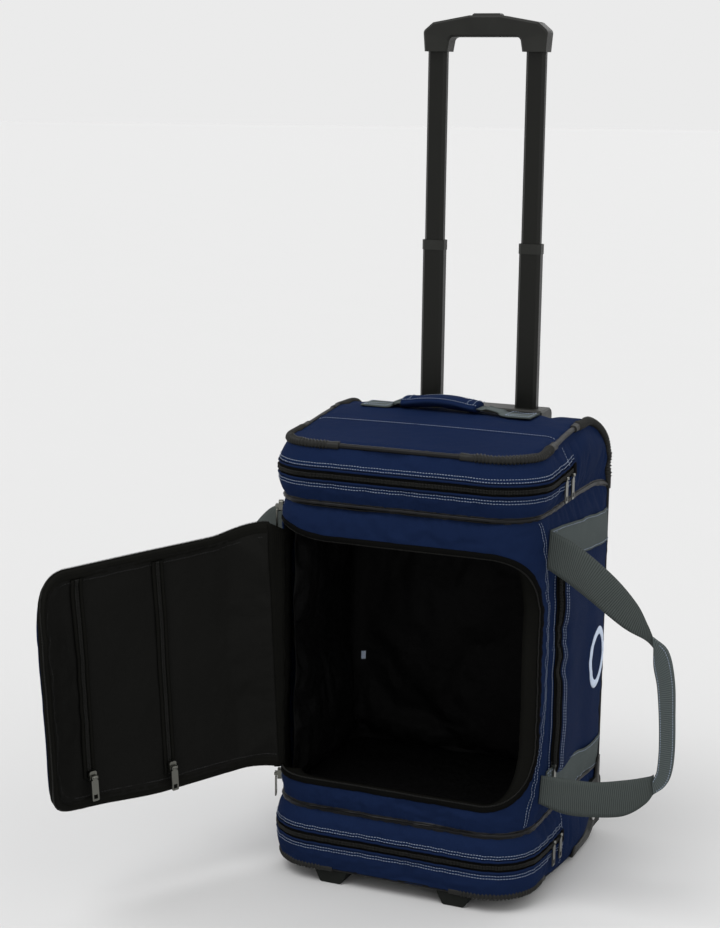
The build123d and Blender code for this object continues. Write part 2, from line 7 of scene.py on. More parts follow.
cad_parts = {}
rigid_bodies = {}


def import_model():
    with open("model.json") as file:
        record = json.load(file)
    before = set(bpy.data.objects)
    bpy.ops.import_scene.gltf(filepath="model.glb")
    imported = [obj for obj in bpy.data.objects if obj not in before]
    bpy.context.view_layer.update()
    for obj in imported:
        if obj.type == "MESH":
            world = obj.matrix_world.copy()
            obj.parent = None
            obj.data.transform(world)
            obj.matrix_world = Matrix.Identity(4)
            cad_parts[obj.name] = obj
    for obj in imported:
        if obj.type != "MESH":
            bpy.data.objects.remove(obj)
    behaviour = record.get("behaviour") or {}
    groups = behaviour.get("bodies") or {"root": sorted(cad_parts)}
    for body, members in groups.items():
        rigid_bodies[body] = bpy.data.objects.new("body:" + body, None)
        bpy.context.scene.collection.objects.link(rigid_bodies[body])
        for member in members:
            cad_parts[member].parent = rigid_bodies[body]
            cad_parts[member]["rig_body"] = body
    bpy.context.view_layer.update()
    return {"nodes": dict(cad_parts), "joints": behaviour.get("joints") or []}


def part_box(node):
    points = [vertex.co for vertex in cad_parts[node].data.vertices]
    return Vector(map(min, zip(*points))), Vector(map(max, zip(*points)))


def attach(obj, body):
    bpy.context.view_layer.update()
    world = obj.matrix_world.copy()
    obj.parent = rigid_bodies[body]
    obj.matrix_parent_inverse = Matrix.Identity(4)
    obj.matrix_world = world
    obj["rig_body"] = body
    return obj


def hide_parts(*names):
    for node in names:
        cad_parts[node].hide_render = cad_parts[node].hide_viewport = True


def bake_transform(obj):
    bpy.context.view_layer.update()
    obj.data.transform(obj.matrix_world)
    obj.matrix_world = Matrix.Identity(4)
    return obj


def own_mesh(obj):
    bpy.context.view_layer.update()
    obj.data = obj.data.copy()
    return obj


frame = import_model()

# A soft wheeled case with its front lid open. Shapes are drawn in millimetres about the middle of
# the case, with its floor at z = 0, and place() turns them into the frame's metres.
MM = 0.001


def low(node):
    return Vector(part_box(node)[0]) / MM


def high(node):
    return Vector(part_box(node)[1]) / MM


def middle(node, axis):
    """The middle of a node's box along one axis, in case millimetres."""
    return (low(node)[axis] + high(node)[axis]) / 2 - CENTRE[axis]


def joint(name):
    return next(row for row in frame["joints"] if row["name"] == name)


LEFT, RIGHT = low("side_panel_left").x, high("side_panel_right").x
FRONT, BACK = low("front_panel").y, high("back_panel").y
CENTRE = Vector(((LEFT + RIGHT) / 2, (FRONT + BACK) / 2, 0))
Y, Z = 1, 2
UP = Vector((0, 0, 1))
HALF_W, HALF_D = (RIGHT - LEFT) / 2, (BACK - FRONT) / 2
BASE, TOP = low("bottom_panel").z, high("top_panel").z
LOWER_SEAM, UPPER_SEAM = low("front_panel").z, high("front_panel").z
CORNER = high("front_panel").y - FRONT
ARC_X, ARC_Y = HALF_W - CORNER, CORNER - HALF_D
ARC_U = ARC_X + CORNER * math.pi / 2
BACK_U = ARC_U + HALF_D - ARC_Y
LOWER_ZIP, UPPER_ZIP = middle("lower_zip", Z), middle("upper_zip", Z)
ZIP_END_Y = high("upper_zip").y - CENTRE.y
OPENING_LOW, OPENING_HIGH = low("main_zip").z, high("main_zip").z
OPENING_MIDDLE = (OPENING_LOW + OPENING_HIGH) / 2
OPENING_U = ARC_X + CORNER * math.radians(60)
OPENING_END = ARC_X + CORNER * math.radians(75)
OPENING_ROUND = 70.0
FLARE = 12.0  # how far the opening's upper edge rises at the hinge
FLARE_LENGTH = 80.0
SIDE_ZIP_LOW, SIDE_ZIP_HIGH = low("side_zip").z, high("side_zip").z
SIDE_ZIP_Y = middle("side_zip", Y)


def place(point):
    """From case millimetres to the frame's metres."""
    return (Vector(point) + CENTRE) * MM


def smooth(start, end, value):
    t = min(max((value - start) / (end - start), 0.0), 1.0)
    return t * t * (3 - 2 * t)


def mix(a, b, t):
    return a + (b - a) * t


def spread(start, end, step):
    """Evenly spaced values from start to end, about step apart."""
    count = max(int(round(abs(end - start) / step)), 1)
    return [start + (end - start) * i / count for i in range(count + 1)]


def arc(start, end, step):
    """Angles in radians from start to end degrees, about step degrees apart."""
    return [math.radians(a) for a in spread(start, end, step)]


def shares(count):
    """Even shares from 0 to 1."""
    return [i / count for i in range(count + 1)]


def halves(count):
    """Even shares from -1 to 1."""
    return [i / count - 1 for i in range(2 * count + 1)]


# ---------------------------------------------------------------- mesh building
class Shape:
    """Vertices in case millimetres, faces, and each vertex's place on its own cloth."""

    def __init__(self):
        self.points, self.faces, self.cloth = [], [], []

    def cut_from(self, place_of):
        """Sets each vertex's place on its cloth, from its point in space."""
        self.cloth = [(a * MM, b * MM, 0) for a, b in map(place_of, self.points)]

    def vertex(self, point, cloth=(0, 0)):
        self.points.append(Vector(point))
        self.cloth.append((cloth[0] * MM, cloth[1] * MM, 0))
        return len(self.points) - 1

    def grid(self, across, along, spot, flip=False):
        """A sheet: spot(a, b) gives a point for each pair, and a and b are its cloth place."""
        first = len(self.points)
        for b in along:
            for a in across:
                self.vertex(spot(a, b), (a, b))
        wide = len(across)
        for j in range(len(along) - 1):
            for i in range(wide - 1):
                at = first + j * wide + i
                face = (at, at + 1, at + wide + 1, at + wide)
                self.faces.append(face[::-1] if flip else face)

    def sweep(self, path, section, size=None):
        """Carries a closed section of (sideways, outward) offsets along (point, normal) pairs."""
        first, count = len(self.points), len(section)
        for point, tangent, normal, length in walked(path):
            side = tangent.cross(normal)
            scale = size(length) if size else 1.0
            for k, (across, out) in enumerate(section):
                self.vertex(point + side * across * scale + normal * out * scale, (length, k * 2.0))
        last = first + (len(path) - 1) * count
        for a in range(first, last, count):
            b = a + count
            for k in range(count):
                k2 = (k + 1) % count
                self.faces.append((a + k, a + k2, b + k2, b + k))
        self.faces.append(tuple(first + k for k in reversed(range(count))))
        self.faces.append(tuple(last + k for k in range(count)))

    def bead(self, centre, tangent, normal, half):
        """A small rounded bar: half gives its half length, half width and half height."""
        side = tangent.cross(normal)
        length, width, height = half
        ring = ((width, 0), (0, height), (-width, 0), (0, -height))
        first = len(self.points)
        self.vertex(centre - tangent * length)
        for at in (-0.6, 0.6):
            for a, b in ring:
                self.vertex(centre + tangent * length * at + side * a + normal * b)
        self.vertex(centre + tangent * length)
        near, far, tip = first + 1, first + 5, first + 9
        for k in range(4):
            k2 = (k + 1) % 4
            self.faces.append((first, near + k2, near + k))
            self.faces.append((near + k, near + k2, far + k2, far + k))
            self.faces.append((far + k, far + k2, tip))


def walked(path):
    """Each (point, normal) as (point, tangent, normal square to it, length walked so far)."""
    result, length = [], 0.0
    for i, (point, normal) in enumerate(path):
        before = path[i - 1][0] if i else point
        after = path[i + 1][0] if i + 1 < len(path) else point
        tangent = (after - before).normalized()
        square = (normal - tangent * normal.dot(tangent)).normalized()
        if i:
            length += (point - path[i - 1][0]).length
        result.append((point, tangent, square, length))
    return result


def stepped(path, pitch):
    """Points at an even pitch along a path, each with its tangent and normal."""
    rows, spots, target = walked(path), [], pitch / 2
    for (p, t, n, start), (q, u, m, end) in zip(rows, rows[1:]):
        while target <= end:
            share = (target - start) / max(end - start, 1e-6)
            spots.append((p.lerp(q, share), t.lerp(u, share).normalized(), n.lerp(m, share).normalized()))
            target += pitch
    return spots


def beside(path, sideways, out=0.0):
    """The path moved sideways along the surface, and out from it."""
    return [(p + t.cross(n) * sideways + n * out, n) for p, t, n, _ in walked(path)]


def show(item):
    bpy.context.scene.collection.objects.link(item)
    return item


def piece(name, shape, material, body, replaces=(), thickness=0.0):
    """Makes an object from a shape, gives it its finish and sets it on its body."""
    mesh = bpy.data.meshes.new(name)
    mesh.from_pydata([place(point) for point in shape.points], [], shape.faces)
    mesh.validate()
    mesh.polygons.foreach_set("use_smooth", [True] * len(mesh.polygons))
    cloth = mesh.attributes.new("cloth", "FLOAT_VECTOR", "POINT")
    cloth.data.foreach_set("vector", [v for spot in shape.cloth for v in spot])
    mesh.materials.append(material)
    item = show(bpy.data.objects.new(name, mesh))
    if thickness:
        solid = item.modifiers.new("thickness", "SOLIDIFY")
        solid.thickness, solid.offset = thickness * MM, -1.0
    if body:
        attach(item, body)
        PIECES.append(item)
    if replaces:
        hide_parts(*replaces)
    return item


PIECES = []
RELAXED = []
CLOTH_FRAMES = 20
FOLLOWS_WITHIN, LEFT_BEYOND = 6.0, 16.0  # how near the cloth a piece has to be to move with it


def relax(item, pins=(), slack=0.02, pressure=3.0, cap=3.5):
    """Sets a sewn panel to be filled out by the cloth simulation, which holds its seams still.

    Its cloth is larger than its place by the slack, and moves by no more than the cap.
    """
    RELAXED.append((item, pins, slack, pressure, cap))
    return item


def sewn_points(mesh):
    """The points on a sheet's open edges, where it is sewn."""
    faces_on = {}
    for polygon in mesh.polygons:
        for edge in polygon.edge_keys:
            faces_on[edge] = faces_on.get(edge, 0) + 1
    return {point for edge, count in faces_on.items() if count == 1 for point in edge}


def add_cloth(item, pins, slack, pressure):
    """Adds the simulation of one panel, held at its seams and blown up a little from inside."""
    group = item.vertex_groups.new(name="sewn")
    group.add(sorted(sewn_points(item.data) | set(pins)), 1.0, "REPLACE")
    for modifier in item.modifiers:
        modifier.show_viewport = False
    cloth = item.modifiers.new("cloth", "CLOTH")
    settings = cloth.settings
    settings.quality, settings.mass = 6, 0.2
    settings.vertex_group_mass = "sewn"
    settings.effector_weights.gravity = 0.0
    settings.use_pressure, settings.uniform_pressure_force = True, pressure
    settings.shrink_min = -slack
    settings.tension_stiffness = settings.compression_stiffness = 15.0
    settings.shear_stiffness, settings.bending_stiffness = 5.0, 0.4
    cloth.collision_settings.use_collision = False
    cloth.point_cache.frame_start, cloth.point_cache.frame_end = 1, CLOTH_FRAMES


def run_cloth():
    """Simulates the panels together, keeps the last frame, and moves what is sewn on them along."""
    for item, *settings, _ in RELAXED:
        add_cloth(item, *settings)
    scene = bpy.context.scene
    for number in range(1, CLOTH_FRAMES + 1):
        scene.frame_set(number)
    graph = bpy.context.evaluated_depsgraph_get()
    shifts = []
    for item, *_, cap in RELAXED:
        after = item.evaluated_get(graph).data.vertices
        free = [a.co - b.co for a, b in zip(after, item.data.vertices)]
        shifts.append([shift * (cap * MM / max(shift.length, cap * MM)) for shift in free])
    moved = {}
    for (item, *_), steps in zip(RELAXED, shifts):
        item.modifiers.remove(item.modifiers["cloth"])
        spots = moved.setdefault(item["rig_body"], [])
        for vertex, shift in zip(item.data.vertices, steps):
            spots.append((vertex.co.copy(), shift))
            vertex.co += shift
        for modifier in item.modifiers:
            modifier.show_viewport = True
        smoother = item.modifiers.new("smoother", "SUBSURF")
        smoother.levels = smoother.render_levels = 1
        item.modifiers.move(item.modifiers.find("smoother"), 0)
    scene.frame_set(1)
    relaxed = [item for item, *_ in RELAXED]
    for body, spots in moved.items():
        tree = kdtree.KDTree(len(spots))
        for index, (spot, shift) in enumerate(spots):
            tree.insert(spot, index)
        tree.balance()
        for item in PIECES:
            if item["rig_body"] == body and item not in relaxed:
                follow(item, tree, spots)


def follow(item, tree, spots):
    """Moves a sewn-on piece with the cloth that lies just below it."""
    for vertex in item.data.vertices:
        near = tree.find_n(vertex.co, 3)
        close = smooth(LEFT_BEYOND * MM, FOLLOWS_WITHIN * MM, near[0][2])
        weights = [1 / (distance + MM) for _, _, distance in near]
        shifts = (spots[index][1] * weight for (_, index, _), weight in zip(near, weights))
        vertex.co += sum(shifts, Vector()) * (close / sum(weights))


def circle(radius, sides=10):
    turns = [2 * math.pi * k / sides for k in range(sides)]
    return [(radius * math.cos(t), radius * math.sin(t)) for t in turns]


def flat(width, height, edge=None):
    """A strip's section with rounded edges, lying on the surface."""
    half, edge = width / 2, edge or height * 0.45
    return [
        (-half, height * 0.3), (-half + edge, 0), (half - edge, 0), (half, height * 0.3),
        (half, height * 0.7), (half - edge, height), (-half + edge, height), (-half, height * 0.7),
    ]


# ---------------------------------------------------------------- materials
class Finish:
    """A node material, built up by the functions below."""

    def __init__(self, name):
        self.material = bpy.data.materials.new(name)
        self.material.use_nodes = True
        self.tree = self.material.node_tree
        self.shader = self.tree.nodes["Principled BSDF"]

    def node(self, kind, **settings):
        node = self.tree.nodes.new("ShaderNode" + kind)
        for key, value in settings.items():
            setattr(node, key, value)
        return node

    def link(self, source, target):
        self.tree.links.new(source, target)

    def coordinates(self, attribute=None, scale=(1, 1, 1)):
        """The cloth's own place, or the object's, stretched by scale."""
        mapping = self.node("Mapping")
        mapping.inputs["Scale"].default_value = scale
        if attribute:
            self.link(self.node("Attribute", attribute_name=attribute).outputs["Vector"], mapping.inputs[0])
        else:
            self.link(self.node("TexCoord").outputs["Object"], mapping.inputs[0])
        return mapping.outputs[0]

    def noise(self, vector, scale, detail=3.0, roughness=0.5):
        node = self.node("TexNoise")
        node.inputs["Scale"].default_value = scale
        node.inputs["Detail"].default_value = detail
        node.inputs["Roughness"].default_value = roughness
        self.link(vector, node.inputs["Vector"])
        return node.outputs["Fac"]

    def math(self, kind, a, b):
        node = self.node("Math", operation=kind)
        for socket, value in zip(node.inputs, (a, b)):
            if isinstance(value, (int, float)):
                socket.default_value = value
            else:
                self.link(value, socket)
        return node.outputs[0]

    def ramp(self, value, stops):
        node = self.node("ValToRGB")
        while len(node.color_ramp.elements) < len(stops):
            node.color_ramp.elements.new(0.5)
        for element, (position, colour) in zip(node.color_ramp.elements, stops):
            element.position = position
            element.color = (*colour, 1.0)
        self.link(value, node.inputs["Fac"])
        return node.outputs["Color"]

    def blend(self, amount, a, b):
        """Mixes two colours, either of them a plain colour or a node's output."""
        node = self.node("Mix", data_type="RGBA")
        for socket, value in ((node.inputs[0], amount), (node.inputs[6], a), (node.inputs[7], b)):
            if isinstance(value, (int, float)):
                socket.default_value = value
            elif isinstance(value, tuple):
                socket.default_value = (*value, 1.0)
            else:
                self.link(value, socket)
        return node.outputs[2]

    def bump(self, height, strength, distance, after=None):
        node = self.node("Bump")
        node.inputs["Strength"].default_value = strength
        node.inputs["Distance"].default_value = distance
        self.link(height, node.inputs["Height"])
        if after:
            self.link(after, node.inputs["Normal"])
        return node.outputs["Normal"]

    def done(self, colour, roughness, normal, **constants):
        self.link(colour, self.shader.inputs["Base Color"])
        if isinstance(roughness, float):
            self.shader.inputs["Roughness"].default_value = roughness
        else:
            self.link(roughness, self.shader.inputs["Roughness"])
        self.link(normal, self.shader.inputs["Normal"])
        for key, value in constants.items():
            self.shader.inputs[key.replace("_", " ")].default_value = value
        return self.material


def span(finish, value, low_value, high_value):
    """Turns a value from 0 to 1 into one between two others."""
    return finish.math("ADD", finish.math("MULTIPLY", value, high_value - low_value), low_value)


def tint(colour, factor):
    return tuple(c * factor for c in colour)


CLOTH_IOR = 1.04  # dull cloth hardly shines, even seen along its surface


def woven(name, colour, thread, pale, rough, sheen, creases, cord=0.0, ior=CLOTH_IOR):
    """Cloth: threads over and under each other with painted shade between them, soft creases, and a slow
    change of tone.

    Webbing also has a cord every so many metres along it, as ribs that run across, with painted shade in the
    grooves between them.
    """
    f = Finish(name)

    def ridges(value, turns):
        return f.math("ABSOLUTE", f.math("SINE", f.math("MULTIPLY", value, turns), 0), 0)

    cloth = f.coordinates("cloth", (1 / thread, 1 / thread, 1 / thread))
    split = f.node("SeparateXYZ")
    f.link(cloth, split.inputs[0])
    warp, weft = ridges(split.outputs[0], math.pi), ridges(split.outputs[1], math.pi)
    checker = f.node("TexChecker")
    checker.inputs["Scale"].default_value = 1.0
    f.link(cloth, checker.inputs["Vector"])
    over = f.node("Mix", data_type="FLOAT")
    f.link(checker.outputs["Fac"], over.inputs[0])
    f.link(warp, over.inputs[2])
    f.link(weft, over.inputs[3])
    threads = over.outputs[0]
    here = f.coordinates()
    slow = f.noise(here, 9.0, 2.0)
    fine = f.noise(here, 900.0, 2.0)
    tone = f.blend(f.math("MULTIPLY", slow, 0.8), colour, tint(colour, pale))
    # Painted shade: the colour is darkened in the gaps where a thread passes under its neighbour.
    between = f.math("MULTIPLY", f.math("SUBTRACT", 1.0, threads), 0.55)
    shade = f.blend(between, tone, tint(colour, 0.62))
    shade = f.blend(f.math("MULTIPLY", fine, 0.25), shade, tint(colour, 1.5))
    if cord:
        ribs = f.math("POWER", ridges(split.outputs[1], math.pi * thread / cord), 0.6)
        # Painted shade: the grooves between the webbing's ribs are darkened to half its colour.
        shade = f.blend(ribs, tint(colour, 0.5), shade)
    folds = f.noise(here, 26.0, 4.0, 0.55)
    normal = f.bump(folds, creases, 0.006)
    normal = f.bump(threads, 0.55, thread * 0.35, normal)
    if cord:
        normal = f.bump(ribs, 0.8, cord * 0.3, normal)
    roughness = span(f, fine, rough - 0.07, rough + 0.09)
    return f.done(shade, roughness, normal, Sheen_Weight=sheen, Sheen_Roughness=0.45, IOR=ior)


def moulded(name, colour, rough, grain, specular=0.14):
    """Moulded plastic or rubber: fine grain, a change of gloss, and paler worn edges."""
    f = Finish(name)
    here = f.coordinates()
    fine = f.noise(here, 1400.0, 2.0)
    slow = f.noise(here, 35.0, 3.0)
    edges = f.node("NewGeometry").outputs["Pointiness"]
    rubbed = f.ramp(edges, ((0.52, (0, 0, 0)), (0.62, (1, 1, 1))))
    rubbed = f.math("MULTIPLY", rubbed, f.math("MULTIPLY", slow, 0.8))
    base = f.blend(slow, colour, tint(colour, 1.35))
    shade = f.blend(rubbed, base, tint(colour, 2.2))
    normal = f.bump(fine, grain, 0.0004)
    roughness = span(f, slow, rough - 0.08, rough + 0.1)
    return f.done(shade, roughness, normal, Specular_IOR_Level=specular)


def metal(name, colour, lines_by_axis, rough=0.3, metallic=1.0, scratches=0.2, specular=0.5):
    """Metal with drawn lines, light scratches and a cloudy finish."""
    f = Finish(name)
    lines = f.noise(f.coordinates(scale=tuple(count * 60 for count in lines_by_axis)), 6.0, 3.0)
    cloud = f.noise(f.coordinates(), 60.0, 3.0)
    shade = f.blend(cloud, tint(colour, 0.8), tint(colour, 1.15))
    shade = f.blend(f.math("MULTIPLY", lines, 0.35), shade, tint(colour, 1.6))
    normal = f.bump(lines, scratches, 0.0003)
    roughness = span(f, cloud, rough - 0.06, rough + 0.1)
    return f.done(shade, roughness, normal, Metallic=metallic, Specular_IOR_Level=specular)


# Each cloth: colour, thread in metres, pale tone, roughness, sheen, creases.
NAVY = woven("navy polyester", (0.0067, 0.0136, 0.0415), 0.0009, 1.35, 0.6, 0.0, 0.35)
LINING = woven("black lining", (0.0034, 0.0034, 0.0035), 0.0008, 1.4, 0.36, 0.0, 0.8, ior=1.15)
LID_LINING = woven("black lid lining", (0.0082, 0.0082, 0.0076), 0.0008, 1.4, 0.5, 0.0, 0.5)
TRIM = woven("black binding", (0.0066, 0.0066, 0.0058), 0.0011, 1.4, 0.6, 0.0, 0.3)
WEBBING = woven("grey webbing", (0.062, 0.072, 0.069), 0.0012, 1.3, 0.62, 0.02, 0.1, cord=0.0024)
PATCH = woven("grey patch webbing", (0.080, 0.095, 0.095), 0.0012, 1.25, 0.62, 0.02, 0.1, cord=0.0024)
TAPE = woven("zip tape", (0.0036, 0.0036, 0.0034), 0.0010, 1.3, 0.62, 0.0, 0.15)
COIL = moulded("zip coil", (0.013, 0.013, 0.012), 0.36, 0.1)
THREAD = woven("pale thread", (0.26, 0.31, 0.40), 0.0004, 1.2, 0.6, 0.2, 0.0)
DARK_THREAD = woven("dark thread", (0.012, 0.012, 0.012), 0.0004, 1.2, 0.6, 0.2, 0.0)
PIPING = moulded("black piping", (0.0055, 0.0055, 0.006), 0.4, 0.15)
GUARD = moulded("guard rubber", (0.0115, 0.0115, 0.0105), 0.42, 0.4)
PLASTIC = moulded("handle plastic", (0.0125, 0.0128, 0.0115), 0.4, 0.3)
HOUSING = moulded("housing plastic", (0.0055, 0.0062, 0.0055), 0.5, 0.5, specular=0.07)
BUTTON = moulded("button plastic", (0.015, 0.015, 0.014), 0.38, 0.3)
TYRE = moulded("tyre rubber", (0.008, 0.008, 0.008), 0.65, 0.6)
HUB = moulded("hub plastic", (0.05, 0.05, 0.052), 0.4, 0.2)
TUBE = metal(
    "black anodised tube", (0.0062, 0.0064, 0.0052), (12, 12, 0.4), 0.32,
    metallic=0.1, scratches=0.12, specular=0.2,
)
GUNMETAL = metal("gunmetal", (0.13, 0.13, 0.115), (3, 3, 3))
STEEL = metal("zinc plated steel", (0.50, 0.50, 0.49), (4, 4, 4))
BADGE = woven("pale badge", (0.52, 0.60, 0.74), 0.0007, 1.1, 0.55, 0.2, 0.1)
BOARD = moulded("stiff board", (0.05, 0.05, 0.05), 0.6, 0.4)

HARD_FINISHES = {
    GUNMETAL: ["zip_sliders", "side_slider", "side_pull"],
    TUBE: ["outer_tubes", "middle_tubes", "upper_tubes"],
    PLASTIC: ["handle_grip", "handle_bezel", "middle_collars", "tube_bracket", "latch_plugs"],
    BUTTON: ["push_button"],
    STEEL: ["axles", "screws", "button_spring", "release_rods"],
    TYRE: ["tyre_left", "tyre_right"],
    HUB: ["hub_left", "hub_right"],
    HOUSING: ["wheel_housing_left", "wheel_housing_right", "front_feet"],
    BOARD: ["back_board"],
}
HARD_FINISHES[GUNMETAL] += [name for name in frame["nodes"] if "pull_" in name or "pocket_slider" in name]


def finish_hard_nodes():
    for material, names in HARD_FINISHES.items():
        for name in names:
            node = frame["nodes"][name]
            if not node.data.materials:
                node.data.materials.append(material)
            for slot in node.material_slots:
                slot.material = material


# ---------------------------------------------------------------- the shell's outline
def plan(u):
    """A point of the outline seen from above, u from the front's middle, and its normal."""
    sign, u = (1 if u >= 0 else -1), abs(u)
    if u < ARC_X:
        point, normal = Vector((u, -HALF_D, 0)), Vector((0, -1, 0))
    elif u < ARC_U:
        turn = (u - ARC_X) / CORNER
        normal = Vector((math.sin(turn), -math.cos(turn), 0))
        point = Vector((ARC_X, ARC_Y, 0)) + normal * CORNER
    else:
        point, normal = Vector((HALF_W, ARC_Y + u - ARC_U, 0)), Vector((1, 0, 0))
    return Vector((point.x * sign, point.y, 0)), Vector((normal.x * sign, normal.y, 0))


def side_u(y):
    """The outline coordinate of a point on the right side."""
    return ARC_U + y - ARC_Y


TOP_ROUND, LOW_ROUND = 75.0, 45.0  # of the two back edges
CROWN, CROWN_FRONT, CROWN_BACK = 13.0, -110, 45  # the top rises by this between two depths
BASE_DROP, DROP_FRONT, DROP_BACK = 13.0, -100, 50  # the base slopes down by this between two depths
LEVEL_HIGH = 440.0  # heights below it are level all round
RIM_INSET = 8.0


def rounded(y, radius):
    """How far a round back edge has turned down at depth y."""
    past = max(y - (HALF_D - radius), 0.0)
    return radius - math.sqrt(max(radius * radius - min(past, radius) ** 2, 0.0))


def top_edge(y):
    return TOP + CROWN * smooth(CROWN_FRONT, CROWN_BACK, y) - rounded(y, TOP_ROUND)


def low_edge(y):
    return BASE - BASE_DROP * smooth(DROP_FRONT, DROP_BACK, y) + rounded(y, LOW_ROUND)


def round_depths(radius, step):
    """Depths round a back edge, from its start to the back."""
    return [HALF_D - radius + radius * math.sin(t) for t in arc(0, 90, step)[1:]]


def rim_inset(y):
    """How far the top's edge lies in from the walls' outline at depth y."""
    return RIM_INSET * (1 - smooth(HALF_D - TOP_ROUND + 15, HALF_D - 8, y))


POCKET_DIP, POCKET_BAG = 3.5, 6.5


def side_pocket(y, z):
    """The right side's pocket: a step up at its zip, and a bag that fades away behind it."""
    behind = y - SIDE_ZIP_Y
    ends = smooth(SIDE_ZIP_LOW - 16, SIDE_ZIP_LOW + 8, z) * smooth(SIDE_ZIP_HIGH + 16, SIDE_ZIP_HIGH - 8, z)
    dip = -POCKET_DIP * math.exp(-(((behind + 9) / 7) ** 2))
    bag = POCKET_BAG * smooth(SIDE_ZIP_Y - 8, SIDE_ZIP_Y + 8, y)
    return (dip + bag * (1 - smooth(SIDE_ZIP_Y + 15, SIDE_ZIP_Y + 120, y))) * ends


SEED_APART = 7.3


def wave(x, y, seed, size):
    """Soft noise from -1 to 1."""
    return noise.noise(Vector((x / size, y / size, seed * SEED_APART)))


PUCKER_REACH, PUCKER_DEPTH, PUCKER_UNEVEN = 9.0, 1.1, 0.9


def pucker(distance, along, seed):
    """The small gathers that stitching pulls into cloth, fading away from the seam."""
    fade = math.exp(-abs(distance) / PUCKER_REACH)
    return (PUCKER_UNEVEN * wave(along, distance * 0.4, seed, PUCKER_REACH) - PUCKER_DEPTH) * fade


UPPER_FILL, LOWER_FILL, SIDE_FILL, MAIN_FILL = 5.5, 5.0, 4.0, 1.5
WAIST_DEPTH, WAIST_REACH = 3.0, 13.0  # how the two seams pull the cloth in


def swell(u, z):
    """How far the filled cloth stands out from the plan outline."""
    far = abs(u)
    back = 1 - smooth(BACK_U - 70, BACK_U, far)
    if z > UPPER_SEAM:
        out = UPPER_FILL * math.sin(math.pi * (z - UPPER_SEAM) / (TOP - UPPER_SEAM)) * back
        out -= rim_inset(plan(u)[0].y) * smooth(UPPER_ZIP + 4, TOP, z)
        near = min(z - UPPER_SEAM, TOP - z, abs(z - UPPER_ZIP) - 5)
    elif z < LOWER_SEAM:
        out = LOWER_FILL * math.sin(math.pi * (z - BASE) / (LOWER_SEAM - BASE)) * back
        near = min(LOWER_SEAM - z, z - BASE, abs(z - LOWER_ZIP) - 5)
    else:
        up = math.sin(math.pi * (z - LOWER_SEAM) / (UPPER_SEAM - LOWER_SEAM))
        side = smooth(ARC_U - 30, ARC_U + 70, far) * back
        out = up * (SIDE_FILL * side + MAIN_FILL)
        if u > ARC_U:
            out += side_pocket(plan(u)[0].y, z)
        near = min(z - LOWER_SEAM, UPPER_SEAM - z)
    waist = min(abs(z - UPPER_SEAM), abs(z - LOWER_SEAM))
    out -= WAIST_DEPTH * math.exp(-((waist / WAIST_REACH) ** 2)) * back
    soft = 1.3 * wave(u, z * 1.7, 1.0, 55.0) + 0.6 * wave(u * 0.6, z * 2.0, 2.0, 18.0)
    loose = smooth(0, 6, min(TOP - z, z - BASE))
    return out + (soft * back + pucker(max(near, 0.0), u, 3.0)) * loose


def lay(u, z, out=0.0):
    """A point on the filled shell at outline coordinate u and nominal height z."""
    point, normal = plan(u)
    height = z
    if z > LEVEL_HIGH:
        height = LEVEL_HIGH + (z - LEVEL_HIGH) * (top_edge(point.y) - LEVEL_HIGH) / (TOP - LEVEL_HIGH)
    elif z < LOWER_SEAM:
        share = (LOWER_SEAM - low_edge(point.y)) / (LOWER_SEAM - BASE)
        height = LOWER_SEAM - (LOWER_SEAM - z) * share
    return point + normal * (swell(u, z) + out) + Vector((0, 0, height))


def facing(u, z):
    """The way that the shell's cloth faces at (u, z)."""
    across = lay(u + 3, z) - lay(u - 3, z)
    up = lay(u, min(z + 3, TOP)) - lay(u, max(z - 3, BASE))
    return across.cross(up).normalized()


def shell_path(spots, out=0.0):
    """(point, normal) pairs for a list of (u, z) on the shell."""
    path = []
    for u, z in spots:
        normal = facing(u, z)
        path.append((lay(u, z) + normal * out, normal))
    return path


CLOTH_STEP = 5.0
CLOTH_THICK = 1.6
POCKET_SEAM_U = side_u(ZIP_END_Y + 2)
ZIP_HALF = 7.0
SEAM_BOW_Z, SEAM_BOW_HALF = 300.0, 185.0
SEAM_FRONT_Y, SEAM_BACK_Y = -111.0, -81.0


def front_seam(z):
    """The bowed seam between the front panel and the side, as an outline coordinate."""
    bow = 1 - ((z - SEAM_BOW_Z) / SEAM_BOW_HALF) ** 2
    return side_u(mix(SEAM_FRONT_Y, SEAM_BACK_Y, max(bow, 0.0)))


def panel(name, shape, node):
    """A filled navy panel of the case."""
    relax(piece(name, shape, NAVY, "case", [node], CLOTH_THICK))


def build_side(word, sign):
    """A side's cloth, in three parts: beside each end pocket and between the two seams."""
    shape = Shape()

    def part(start, z_low, z_high):
        rows = spread(z_low, z_high, CLOTH_STEP)
        shape.grid(shares(56), rows, lambda s, z: lay(sign * mix(start(z), BACK_U, s), z), sign < 0)

    part(lambda z: POCKET_SEAM_U, BASE, LOWER_SEAM)
    part(front_seam, LOWER_SEAM, UPPER_SEAM)
    part(lambda z: POCKET_SEAM_U, UPPER_SEAM, TOP)
    shape.cut_from(lambda p: (p.y, p.z))
    panel(f"side_cloth_{word}", shape, f"side_panel_{word}")


def build_end_pocket(word, z_low, z_high, zip_z):
    """An end pocket's front, in two strips with its zip between them."""
    name = f"{word}_pocket_cloth"
    shape = Shape()
    columns = spread(-POCKET_SEAM_U, POCKET_SEAM_U, CLOTH_STEP)
    for start, stop in ((z_low, zip_z - ZIP_HALF + 1), (zip_z + ZIP_HALF - 1, z_high)):
        shape.grid(columns, spread(start, stop, 3.0), lay)
    lips = Shape()
    for side in (-1, 1):
        spots = [(u, zip_z + side * (ZIP_HALF - 0.5)) for u in columns]
        lips.sweep(shell_path(spots, -0.4), flat(2.6, 2.2))
    piece(name + "_zip_lips", lips, NAVY, "case")
    panel(name, shape, f"{word}_pocket_front")


